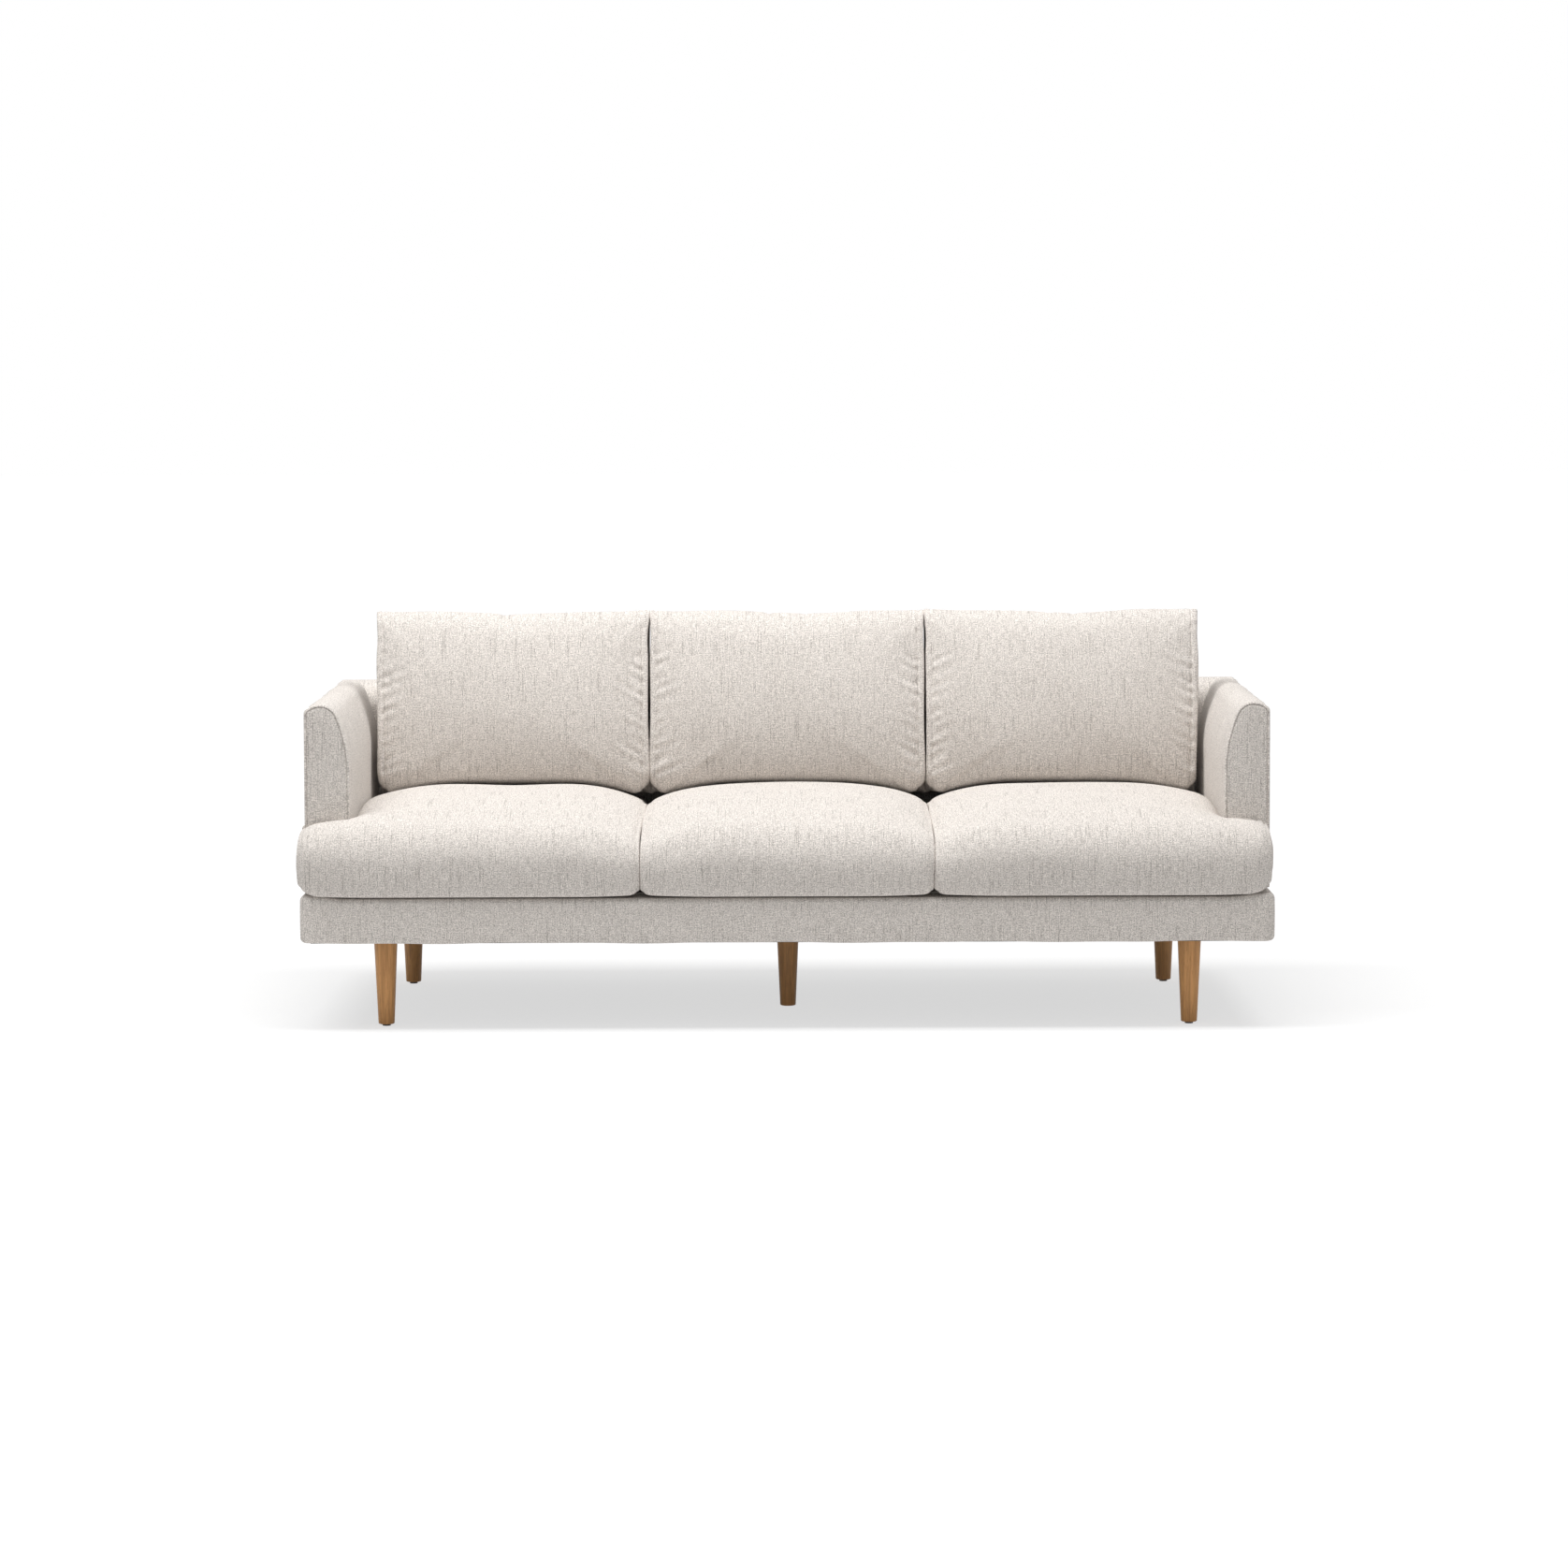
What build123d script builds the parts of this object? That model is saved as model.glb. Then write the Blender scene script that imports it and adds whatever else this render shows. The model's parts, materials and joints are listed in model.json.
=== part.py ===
from build123d import *
import os
from math import copysign, cos, radians, sin, sqrt

os.makedirs("parts", exist_ok=True)

# Three-seat sofa with loose cushions on turned wooden legs, in millimetres.
# The origin is on the floor under the middle, +Z is up and the sitter faces -Y.

# Sizes of the whole
overall_width = 2100
overall_depth = 920
leg_height = 190
base_height = 104
arm_height = 698
arm_thickness = 97
arm_inset = 3
arm_setback = 130
back_thickness = 120
front_overhang = 10
back_cushion_top = 868

# Clearances
layer_gap = 0.3
rest_gap = 0.4
back_rest_gap = 0.6
joint_fit = 0.2
thread_fit = 0.1
cushion_gap = 3
seat_side_gap = 2
back_side_gap = 10

# Base frame and its upholstery
base_padding = 10
base_fold = 3
base_fold_width = 40
base_top_round = 16
base_bottom_round = 11
base_corner_round = 24
front_flange = 60
deck_margin = 10
rail_thickness = 24
tenon_shoulder = 6
tenon_length = 16
strap_thickness = 2
strap_width = 60
strap_end_inset = 4
strap_count = 9
cross_strap_count = 4
dust_cover_thickness = 1
dust_cover_inset = 22

# Legs and their fittings
leg_side_inset = 177
leg_front_inset = 100
leg_rear_inset = 110
centre_leg_offset = 50
leg_top_radius = 25.8
leg_foot_radius = 17.5
leg_foot_chamfer = 1.5
leg_rail_width = 80
leg_rail_height = 32
leg_hole_fit = 1.5
bolt_radius = 4
bolt_in_leg = 36
nut_radius = 7.5
nut_height = 8
glide_radius = 9
glide_height = 4

# Arms
cover_thickness = 3
thin_padding = 5
arm_front_padding = 20
arm_top_padding = 80
arm_crown_offset = 34
arm_outer_round = 12
arm_outer_crown = 45
arm_inner_round = 300
arm_inner_crown = 40
arm_edge_round = 2.5
timber_width = 45
arm_rail_height = 30

# Back
back_rear_round = 28
back_front_round = 65
back_end_round = 12
back_top_padding = 70
back_rail_height = 45
back_post_width = 60
back_strap_count = 8
back_strap_margin = 8

# Coach screws that hold the arms and the back down on the base
screw_radius = 4
screw_head_radius = 9
screw_head_height = 5
screw_in_rail = 48
screw_window = 24

# Seat cushions
seat_crown = 200
seat_crown_radius = 1570
seat_apex_y = -40
seat_side_drop = 20
seat_edge_round = 28
seat_front_radius = 84
seat_front_tuck = 42
nose_bend = 45
seat_front_share = 0.45
seat_bottom_share = 0.3
seat_rear_share = 0.35
seat_rear_gap = 5
seat_wrap = 26
seat_core_lift = 20
seat_core_setback = 46

# Sections of every cushion: places over a round end, as parts of its radius, and spans between
edge_parts = (0, 0.12, 0.45, 1)
body_spans = 6
side_draw_in = 5
draw_in_margin = 70

# Back cushions
back_rest_y = 218
back_cushion_depth = 236
back_cushion_lip = 42
back_cushion_nose = 48
back_cushion_shoulder = 640
back_top_rear_y = 272
back_top_front_y = 196
back_top_rise = 22
back_front_bow = 18
back_rear_bow = 11
back_nose_bow = 10.5
back_side_drop = 18
back_edge_round = 24
back_top_share = 0.4
back_rear_share = 0.5
back_bottom_share = 0.3
back_wrap = 26

# Levels and planes that follow from the sizes
half_width = overall_width / 2
seat_front = -overall_depth / 2
base_front = seat_front + front_overhang
base_rear = overall_depth / 2
base_bottom = leg_height
base_top = base_bottom + base_height
rail_bottom = base_bottom + base_fold
rail_top = base_top - base_padding
rail_front = base_front + base_padding
rail_rear = base_rear - base_padding
rail_end = half_width - base_padding
rail_middle_y = (rail_front + rail_rear) / 2
deck_bottom = rail_top + strap_thickness + layer_gap
side_rail_top = rail_top - strap_thickness - layer_gap
leg_rail_top = rail_bottom + leg_rail_height
arm_outer = half_width - arm_inset
arm_inner = arm_outer - arm_thickness
arm_front = seat_front + arm_setback
back_front = base_rear - back_thickness
deck_half = arm_inner - deck_margin
deck_front = base_front + front_flange
deck_rear = back_front - deck_margin
strap_pitch = 2 * arm_inner / strap_count
cross_strap_pitch = (deck_rear - deck_front) / cross_strap_count
side_rail_x = rail_end - rail_thickness / 2
leg_x = half_width - leg_side_inset
leg_front_y = base_front + leg_front_inset
leg_rear_y = base_rear - leg_rear_inset
centre_leg_y = rail_middle_y - centre_leg_offset
corner_legs = [(x, y) for x in (-leg_x, leg_x) for y in (leg_front_y, leg_rear_y)]
all_legs = corner_legs + [(0, centre_leg_y)]
arm_frame_outer = arm_outer - cover_thickness - thin_padding
arm_frame_middle = arm_frame_outer - timber_width / 2
arm_frame_front = arm_front + arm_front_padding
arm_frame_top = arm_height - arm_top_padding
arm_screw_reach = (cross_strap_count / 2 - 1) * cross_strap_pitch
arm_screws = [(side_rail_x, rail_middle_y + side * arm_screw_reach) for side in (-1, 1)]
back_frame_rear = base_rear - cover_thickness - thin_padding
back_frame_front = back_frame_rear - timber_width
back_hollow_end = arm_outer - back_end_round
back_frame_end = back_hollow_end - thin_padding
back_frame_top = arm_height - back_top_padding
rear_rail_y = rail_rear - rail_thickness / 2
outer_screw_x = (strap_count / 2 - 1) * strap_pitch
inner_screw_x = (strap_count / 2 - (strap_count - 1) // 2) * strap_pitch
back_screws = [(side * x, rear_rail_y) for side in (-1, 1) for x in (inner_screw_x, outer_screw_x)]
seat_width = (2 * arm_inner - 2 * seat_side_gap - 2 * cushion_gap) / 3
seat_bottom = base_top + rest_gap
seat_rear = back_front - seat_rear_gap
seat_apex_z = base_top + seat_crown
back_width = (2 * arm_inner - 2 * back_side_gap - 2 * cushion_gap) / 3
low_middle = (Align.CENTER, Align.CENTER, Align.MIN)
low_front = (Align.CENTER, Align.MIN, Align.MIN)


def write(part, name):
    """Label a finished piece and save it under its name."""
    part.label = name
    export_step(part, f"parts/{name}.step")


def write_pair(part, name):
    """Save a right-hand piece and its mirror image on the left."""
    write(part, f"{name}_right")
    write(mirror(part, about=Plane.YZ), f"{name}_left")


# Base frame: long rails, cross rails tenoned into them, each as (x, width, top)
cross_rails = {
    "base_side_rail_right": (side_rail_x, rail_thickness, side_rail_top),
    "base_side_rail_left": (-side_rail_x, rail_thickness, side_rail_top),
    "leg_rail_right": (leg_x, leg_rail_width, leg_rail_top),
    "leg_rail_left": (-leg_x, leg_rail_width, leg_rail_top),
    "centre_rail": (0, leg_rail_width, leg_rail_top),
}

for name, (x, width, top) in cross_rails.items():
    rail_span = rail_rear - rail_front - 2 * rail_thickness
    rail_height = top - rail_bottom
    with BuildPart() as cross_rail:
        with Locations((x, rail_middle_y, rail_bottom)):
            Box(width, rail_span, rail_height, align=low_middle)
        with Locations((x, rail_middle_y, rail_bottom + tenon_shoulder)):
            tenon_span = rail_span + 2 * tenon_length
            Box(width - 2 * tenon_shoulder, tenon_span, rail_height - 2 * tenon_shoulder, align=low_middle)
        for leg_place in all_legs:
            if leg_place[0] == x:
                with Locations((*leg_place, top)):
                    Hole(radius=bolt_radius + thread_fit, depth=rail_height)
        for screw_x, screw_y in arm_screws:
            if screw_x == abs(x):
                with Locations((x, screw_y, top)):
                    Hole(radius=screw_radius + thread_fit, depth=screw_in_rail)
    write(cross_rail.part, name)

for name, rail_y in (("base_front_rail", rail_front), ("base_rear_rail", rail_rear - rail_thickness)):
    with BuildPart() as long_rail:
        with Locations((0, rail_y, rail_bottom)):
            Box(2 * rail_end, rail_thickness, rail_top - rail_bottom, align=low_front)
        for x, width, top in cross_rails.values():
            mortise_y = max(rail_y, rail_front + rail_thickness - tenon_length - joint_fit)
            mortise_width = width - 2 * tenon_shoulder + 2 * joint_fit
            mortise_height = top - rail_bottom - 2 * tenon_shoulder + 2 * joint_fit
            with Locations((x, mortise_y, rail_bottom + tenon_shoulder - joint_fit)):
                Box(
                    mortise_width,
                    tenon_length + joint_fit,
                    mortise_height,
                    align=low_front,
                    mode=Mode.SUBTRACT,
                )
        if name == "base_rear_rail":
            for screw_place in back_screws:
                with Locations((*screw_place, rail_top)):
                    Hole(radius=screw_radius + thread_fit, depth=screw_in_rail)
    write(long_rail.part, name)

# Webbing: straps from front to rear on the long rails, and lengthwise ones just below them
with BuildPart() as seat_straps:
    with BuildSketch(Plane.XY.offset(rail_top)):
        with Locations((0, rail_middle_y)):
            with GridLocations(strap_pitch, 0, strap_count, 1):
                Rectangle(strap_width, rail_rear - rail_front - 2 * strap_end_inset)
    extrude(amount=strap_thickness)
write(seat_straps.part, "seat_straps")

with BuildPart() as lengthwise_straps:
    with BuildSketch(Plane.XY.offset(side_rail_top)):
        with Locations((0, rail_middle_y)):
            with GridLocations(0, cross_strap_pitch, 1, cross_strap_count):
                Rectangle(2 * rail_end - 2 * strap_end_inset, strap_width)
    extrude(amount=strap_thickness)
write(lengthwise_straps.part, "lengthwise_straps")

# Padded cover of the base, one rounded shell that is cut into a front, a rear and two sides
with BuildPart() as base_shell:
    with Locations((0, base_front, base_bottom)):
        Box(overall_width, base_rear - base_front, base_height, align=low_front)
    fillet(base_shell.edges().filter_by(Axis.Z), base_corner_round)
    fillet(base_shell.faces().sort_by(Axis.Z)[-1].edges(), base_top_round)
    fillet(base_shell.faces().sort_by(Axis.Z)[0].edges(), base_bottom_round)
    with Locations((0, rail_front, rail_bottom)):
        Box(
            2 * rail_end,
            rail_rear - rail_front,
            deck_bottom - rail_bottom,
            align=low_front,
            mode=Mode.SUBTRACT,
        )
    with Locations((0, deck_front, deck_bottom)):
        Box(
            2 * deck_half,
            deck_rear - deck_front,
            base_height,
            align=low_front,
            mode=Mode.SUBTRACT,
        )
    with Locations((0, (base_front + base_rear) / 2, base_bottom)):
        Box(
            overall_width - 2 * base_fold_width,
            base_rear - base_front - 2 * base_fold_width,
            base_fold,
            align=low_middle,
            mode=Mode.SUBTRACT,
        )
    for screw_x, screw_y in [*arm_screws, *[(-x, y) for x, y in arm_screws], *back_screws]:
        with Locations((screw_x, screw_y, deck_bottom)):
            Box(screw_window, screw_window, base_height, align=low_middle, mode=Mode.SUBTRACT)

front_cut = Plane.XZ.offset(-deck_front)
rear_cut = Plane.XZ.offset(-deck_rear)

with BuildPart() as base_cover_front:
    add(base_shell.part)
    split(bisect_by=front_cut, keep=Keep.TOP)
write(base_cover_front.part, "base_cover_front")

with BuildPart() as base_cover_rear:
    add(base_shell.part)
    split(bisect_by=rear_cut, keep=Keep.BOTTOM)
write(base_cover_rear.part, "base_cover_rear")

with BuildPart() as base_cover_side:
    add(base_shell.part)
    split(bisect_by=front_cut, keep=Keep.BOTTOM)
    split(bisect_by=rear_cut, keep=Keep.TOP)
    split(bisect_by=Plane.YZ, keep=Keep.TOP)
write_pair(base_cover_side.part, "base_cover")

with BuildPart() as seat_deck:
    with Locations((0, deck_front + layer_gap, deck_bottom)):
        Box(
            2 * (deck_half - layer_gap),
            deck_rear - deck_front - 2 * layer_gap,
            base_top - deck_bottom,
            align=low_front,
        )
write(seat_deck.part, "seat_deck")

with BuildPart() as dust_cover:
    with BuildSketch(Plane.XY.offset(base_bottom - dust_cover_thickness)):
        with Locations((0, (base_front + base_rear) / 2)):
            dust_width = overall_width - 2 * dust_cover_inset
            Rectangle(dust_width, base_rear - base_front - 2 * dust_cover_inset)
        with Locations(*all_legs):
            Circle(leg_top_radius + leg_hole_fit, mode=Mode.SUBTRACT)
    extrude(amount=dust_cover_thickness)
write(dust_cover.part, "dust_cover")


def turned_leg(x, y, foot_z):
    """A straight taper turned about an upright axis, drilled from above for its bolt."""
    with BuildPart() as leg:
        with BuildSketch(Plane.XZ):
            with BuildLine():
                Polyline(
                    (0, foot_z),
                    (leg_foot_radius - leg_foot_chamfer, foot_z),
                    (leg_foot_radius, foot_z + leg_foot_chamfer),
                    (leg_top_radius, rail_bottom),
                    (0, rail_bottom),
                    close=True,
                )
            make_face()
        revolve(axis=Axis.Z)
        with Locations((0, 0, rail_bottom)):
            Hole(radius=bolt_radius + thread_fit, depth=bolt_in_leg)
    return leg.part.moved(Location((x, y, 0)))


write_pair(turned_leg(leg_x, leg_front_y, glide_height), "leg_front")
write_pair(turned_leg(leg_x, leg_rear_y, glide_height), "leg_rear")
write(turned_leg(0, centre_leg_y, 0), "leg_centre")

with BuildPart() as leg_glides:
    with BuildSketch(Plane.XY):
        with Locations(*corner_legs):
            Circle(glide_radius)
    extrude(amount=glide_height)
write(leg_glides.part, "leg_glides")

with BuildPart() as leg_bolts:
    with BuildSketch(Plane.XY.offset(rail_bottom - bolt_in_leg + joint_fit)):
        with Locations(*all_legs):
            Circle(bolt_radius)
    extrude(amount=bolt_in_leg - joint_fit + leg_rail_height + nut_height)
write(leg_bolts.part, "leg_bolts")

with BuildPart() as leg_nuts:
    with BuildSketch(Plane.XY.offset(leg_rail_top)):
        with Locations(*all_legs):
            RegularPolygon(nut_radius, 6)
            Circle(bolt_radius + thread_fit, mode=Mode.SUBTRACT)
    extrude(amount=nut_height)
write(leg_nuts.part, "leg_nuts")


def coach_screws(places, head_z, tip_z):
    """Upright screws at the places, each a six-sided head over a plain shank."""
    with BuildPart() as screws:
        with BuildSketch(Plane.XY.offset(head_z)):
            with Locations(*places):
                RegularPolygon(screw_head_radius, 6)
        extrude(amount=screw_head_height)
        with BuildSketch(Plane.XY.offset(tip_z)):
            with Locations(*places):
                Circle(screw_radius)
        extrude(amount=head_z - tip_z)
    return screws.part


# Arms, modelled on the right
def round_join(flank, flank_radius, crown, crown_radius):
    """For an upright flank and a level crown rounded by two arcs: where the first starts and where they meet."""
    side = copysign(1, flank - crown[0])
    difference = crown_radius - flank_radius
    across = flank - side * flank_radius - crown[0]
    rise = copysign(sqrt(difference**2 - across**2), difference)
    centre_z = crown[1] - crown_radius
    share = crown_radius / difference
    return (flank, centre_z + rise), (crown[0] + across * share, centre_z + rise * share)


def arm_outline(inset, y):
    """Cross-section of the arm: tight rounds up the outside to the crown, a long slow one down the inside."""
    crown = (arm_outer - arm_crown_offset, arm_height - inset)
    outer = arm_outer - inset
    inner = arm_inner + inset
    outer_start, outer_join = round_join(outer, arm_outer_round - inset, crown, arm_outer_crown - inset)
    inner_start, inner_join = round_join(inner, arm_inner_round - inset, crown, arm_inner_crown - inset)
    with BuildSketch(Plane.XZ.offset(-y)) as outline:
        with BuildLine():
            Polyline(inner_start, (inner, base_top), (outer, base_top), outer_start)
            TangentArc(outer_start, outer_join, tangent=(0, 1))
            TangentArc(crown, outer_join, tangent=(1, 0))
            TangentArc(crown, inner_join, tangent=(-1, 0))
            TangentArc(inner_start, inner_join, tangent=(0, 1))
        make_face()
    return outline.sketch


with BuildPart() as arm_cover:
    extrude(arm_outline(0, arm_front), amount=arm_front - back_front)
    front_edges = arm_cover.faces().sort_by(Axis.Y)[0].edges()
    fillet(front_edges.sort_by(Axis.Z)[1:], arm_edge_round)
    arm_hollow_front = arm_front + cover_thickness
    extrude(
        arm_outline(cover_thickness, arm_hollow_front),
        amount=arm_hollow_front - back_front,
        mode=Mode.SUBTRACT,
    )
write_pair(arm_cover.part, "arm_cover")

with BuildPart() as arm_foam:
    foam_front = arm_front + cover_thickness + layer_gap
    extrude(arm_outline(cover_thickness + layer_gap, foam_front), amount=foam_front - back_front)
    with Locations((arm_frame_middle, arm_frame_front - layer_gap, base_top)):
        Box(
            timber_width + 2 * layer_gap,
            back_front - arm_frame_front + layer_gap,
            arm_frame_top - base_top + layer_gap,
            align=low_front,
            mode=Mode.SUBTRACT,
        )
write_pair(arm_foam.part, "arm_foam")

for name, post_y in (("arm_front_post", arm_frame_front), ("arm_rear_post", back_front - timber_width)):
    with BuildPart() as arm_post:
        with Locations((arm_frame_middle, post_y, base_top)):
            Box(timber_width, timber_width, arm_frame_top - base_top, align=low_front)
    write_pair(arm_post.part, name)

arm_rail_y = arm_frame_front + timber_width
for name, rail_z in (("arm_bottom_rail", base_top), ("arm_top_rail", arm_frame_top - arm_rail_height)):
    with BuildPart() as arm_rail:
        with Locations((arm_frame_middle, arm_rail_y, rail_z)):
            arm_rail_length = back_front - timber_width - arm_rail_y
            Box(timber_width, arm_rail_length, arm_rail_height, align=low_front)
        if name == "arm_bottom_rail":
            for screw_place in arm_screws:
                with Locations((*screw_place, rail_z + arm_rail_height)):
                    Hole(radius=screw_radius + joint_fit, depth=arm_rail_height)
    write_pair(arm_rail.part, name)

arm_screw_tip = side_rail_top - screw_in_rail + joint_fit
write_pair(coach_screws(arm_screws, base_top + arm_rail_height, arm_screw_tip), "arm_screws")


# Back
def back_outline(inset):
    """Cross-section of the back: a tight round behind its top edge and a wide one before it."""
    with BuildSketch(Plane.YZ) as outline:
        with Locations(((back_front + base_rear) / 2, base_top)):
            outline_height = arm_height - base_top - inset
            Rectangle(back_thickness - 2 * inset, outline_height, align=(Align.CENTER, Align.MIN))
        top_front, top_rear = outline.vertices().sort_by(Axis.Y)[-2:].sort_by(Axis.X)
        fillet(top_front, back_front_round - inset)
        fillet(top_rear, back_rear_round - inset)
    return outline.sketch


with BuildPart() as back_cover:
    extrude(back_outline(0), amount=arm_outer, both=True)
    end_edges = back_cover.faces().filter_by(Axis.X).edges()
    fillet(end_edges.filter_by(lambda edge: edge.center().Z > base_top), back_end_round)
    extrude(back_outline(cover_thickness), amount=back_hollow_end, both=True, mode=Mode.SUBTRACT)
write(back_cover.part, "back_cover")

with BuildPart() as back_foam:
    foam_inset = cover_thickness + layer_gap
    extrude(back_outline(foam_inset), amount=back_hollow_end - layer_gap, both=True)
    with Locations((0, back_frame_front - strap_thickness - layer_gap, base_top)):
        Box(
            2 * (back_frame_end + layer_gap),
            timber_width + strap_thickness + 2 * layer_gap,
            back_frame_top - base_top + layer_gap,
            align=low_front,
            mode=Mode.SUBTRACT,
        )
write(back_foam.part, "back_foam")

back_post_middle = back_frame_end - back_post_width / 2
back_inner_x = (seat_width + cushion_gap) / 2
with BuildPart() as back_end_post:
    with Locations((back_post_middle, back_frame_front, base_top)):
        Box(back_post_width, timber_width, back_frame_top - base_top, align=low_front)
write_pair(back_end_post.part, "back_end_post")

with BuildPart() as back_inner_post:
    with Locations((back_inner_x, back_frame_front, base_top + back_rail_height)):
        inner_post_height = back_frame_top - base_top - 2 * back_rail_height
        Box(back_post_width, timber_width, inner_post_height, align=low_front)
write_pair(back_inner_post.part, "back_inner_post")

for name, rail_z in (("back_bottom_rail", base_top), ("back_top_rail", back_frame_top - back_rail_height)):
    with BuildPart() as back_rail:
        with Locations((0, back_frame_front, rail_z)):
            Box(2 * (back_frame_end - back_post_width), timber_width, back_rail_height, align=low_front)
        if name == "back_bottom_rail":
            for screw_place in back_screws:
                with Locations((*screw_place, rail_z + back_rail_height)):
                    Hole(radius=screw_radius + joint_fit, depth=back_rail_height)
    write(back_rail.part, name)

with BuildPart() as back_straps:
    with BuildSketch(Plane.XZ.offset(-back_frame_front)):
        with Locations((0, (base_top + back_frame_top) / 2)):
            strap_length = back_frame_top - base_top - 2 * back_strap_margin
            with GridLocations(2 * arm_inner / back_strap_count, 0, back_strap_count, 1):
                Rectangle(strap_width, strap_length)
    extrude(amount=strap_thickness)
write(back_straps.part, "back_straps")

back_screw_tip = rail_top - screw_in_rail + joint_fit
write(coach_screws(back_screws, base_top + back_rail_height, back_screw_tip), "back_screws")


# Cushions: sections across the width, crowned in the middle and rolled over at both ends
def edge_roll(distance, radius):
    """How far a round edge has fallen at a distance in from the end."""
    reach = max(radius - distance, 0)
    return radius - sqrt(radius**2 - reach**2)


def stations(low, high, edge):
    """Section places from end to end: close together on the round edges, evenly spaced between."""
    rising = [low + part * edge for part in edge_parts]
    falling = [high - part * edge for part in reversed(edge_parts)]
    step = (falling[0] - rising[-1]) / body_spans
    return rising + [rising[-1] + count * step for count in range(1, body_spans)] + falling


def seat_crown_z(y, apex):
    """Height of the seat's crown circle at a depth, for a crown whose apex is at the given height."""
    return apex - seat_crown_radius + sqrt(seat_crown_radius**2 - (y - seat_apex_y) ** 2)


def seat_section(x, drop, roll):
    """Upright section of a seat: the crown circle rolls into the front round, which tucks under."""
    apex = seat_apex_z - drop - roll
    radius = seat_front_radius - seat_front_share * roll
    nose_y = seat_front + seat_front_share * roll + radius
    crown_z = apex - seat_crown_radius
    reach = seat_crown_radius - radius
    nose_z = crown_z + sqrt(reach**2 - (nose_y - seat_apex_y) ** 2)
    outward = seat_crown_radius / reach
    shoulder = (seat_apex_y + (nose_y - seat_apex_y) * outward, crown_z + (nose_z - crown_z) * outward)
    bottom = seat_bottom + seat_bottom_share * roll
    nose = (nose_y - radius, nose_z)
    bend = (nose_y - radius * sin(radians(nose_bend)), nose_z + radius * cos(radians(nose_bend)))
    toe = (nose_y - radius + seat_front_tuck, bottom)
    rear = seat_rear - seat_rear_share * roll
    rear_top = (rear, seat_crown_z(rear, apex))
    with BuildSketch(Plane.YZ.offset(x)) as section:
        with BuildLine():
            Line((rear, bottom), toe)
            TangentArc(nose, toe, tangent=(0, -1))
            ThreePointArc(nose, bend, shoulder)
            ThreePointArc(shoulder, (seat_apex_y, apex), rear_top)
            Line(rear_top, (rear, bottom))
        make_face()
    return section.sketch


def side_lens(plane, start, end, depth):
    """A shallow lens from start to end, by which a cushion's side is drawn in between its corners."""
    with BuildSketch(plane) as lens:
        with BuildLine():
            Line(start, end)
            SagittaArc(end, start, depth)
        make_face()
    return lens.sketch


def seat_core_section(x):
    """Section of the foam block: flat below, crowned above, inside the wrap all round."""
    low = seat_bottom + seat_core_lift
    front = seat_front + seat_core_setback
    rear = seat_rear - seat_wrap
    apex = seat_apex_z - seat_side_drop - seat_wrap
    with BuildSketch(Plane.YZ.offset(x)) as section:
        with BuildLine():
            crown = ThreePointArc(
                (front, seat_crown_z(front, apex)),
                (seat_apex_y, apex),
                (rear, seat_crown_z(rear, apex)),
            )
            Polyline(crown @ 1, (rear, low), (front, low), crown @ 0)
        make_face()
    return section.sketch


def seat_cushion(low, high, ear_end):
    """A seat's foam core and its wrapped cover. With an ear, it also reaches out before the arm."""
    middle = (low + high) / 2
    half = (high - low) / 2
    ear_rear = arm_front - seat_side_gap
    wrap_ends = seat_wrap + seat_edge_round / 2
    with BuildPart() as core:
        extrude(seat_core_section(low + wrap_ends), amount=ear_end - low - 2 * wrap_ends)
        if ear_end > high:
            with Locations((high - wrap_ends, ear_rear - seat_wrap, seat_bottom)):
                Box(
                    ear_end - high + wrap_ends,
                    seat_rear - ear_rear + seat_wrap,
                    seat_crown,
                    align=(Align.MIN, Align.MIN, Align.MIN),
                    mode=Mode.SUBTRACT,
                )
    with BuildPart() as cover:
        sections = []
        for x in stations(low, ear_end, seat_edge_round):
            spread = min(abs(x - middle) / half, 1)
            roll = edge_roll(min(x - low, ear_end - x), seat_edge_round)
            sections.append(seat_section(x, seat_side_drop * spread**2, roll))
        loft(sections, ruled=True)
        if ear_end > high:
            with Locations((high, ear_rear, seat_bottom)):
                Box(
                    ear_end - high,
                    seat_rear - ear_rear,
                    seat_crown,
                    align=(Align.MIN, Align.MIN, Align.MIN),
                    mode=Mode.SUBTRACT,
                )
        lens_plane = Plane.XY.offset(seat_bottom)
        lens_rear = seat_rear - draw_in_margin
        lens_front = seat_front + draw_in_margin
        ear_lens_front = ear_rear + draw_in_margin if ear_end > high else lens_front
        for side, start, end in ((low, lens_front, lens_rear), (high, lens_rear, ear_lens_front)):
            lens = side_lens(lens_plane, (side, start), (side, end), side_draw_in)
            extrude(lens, amount=seat_crown, mode=Mode.SUBTRACT)
        hollow = offset(core.part, amount=layer_gap, kind=Kind.INTERSECTION, mode=Mode.PRIVATE)
        add(hollow, mode=Mode.SUBTRACT)
    return cover.part, core.part


middle_cover, middle_core = seat_cushion(-seat_width / 2, seat_width / 2, seat_width / 2)
write(middle_cover, "seat_cover_middle")
write(middle_core, "seat_core_middle")
outer_low = seat_width / 2 + cushion_gap
outer_cover, outer_core = seat_cushion(outer_low, outer_low + seat_width, half_width)
write_pair(outer_cover, "seat_cover")
write_pair(outer_core, "seat_core")

# The underside of a back cushion lies on the seat's crown along the tangent at its resting depth
rest_reach = back_rest_y - seat_apex_y
rest_slope = rest_reach / sqrt(seat_crown_radius**2 - rest_reach**2)


def back_underside(y):
    """Height of the back cushion's underside at a depth."""
    return seat_crown_z(back_rest_y, seat_apex_z) + back_rest_gap - rest_slope * (y - back_rest_y)


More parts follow.
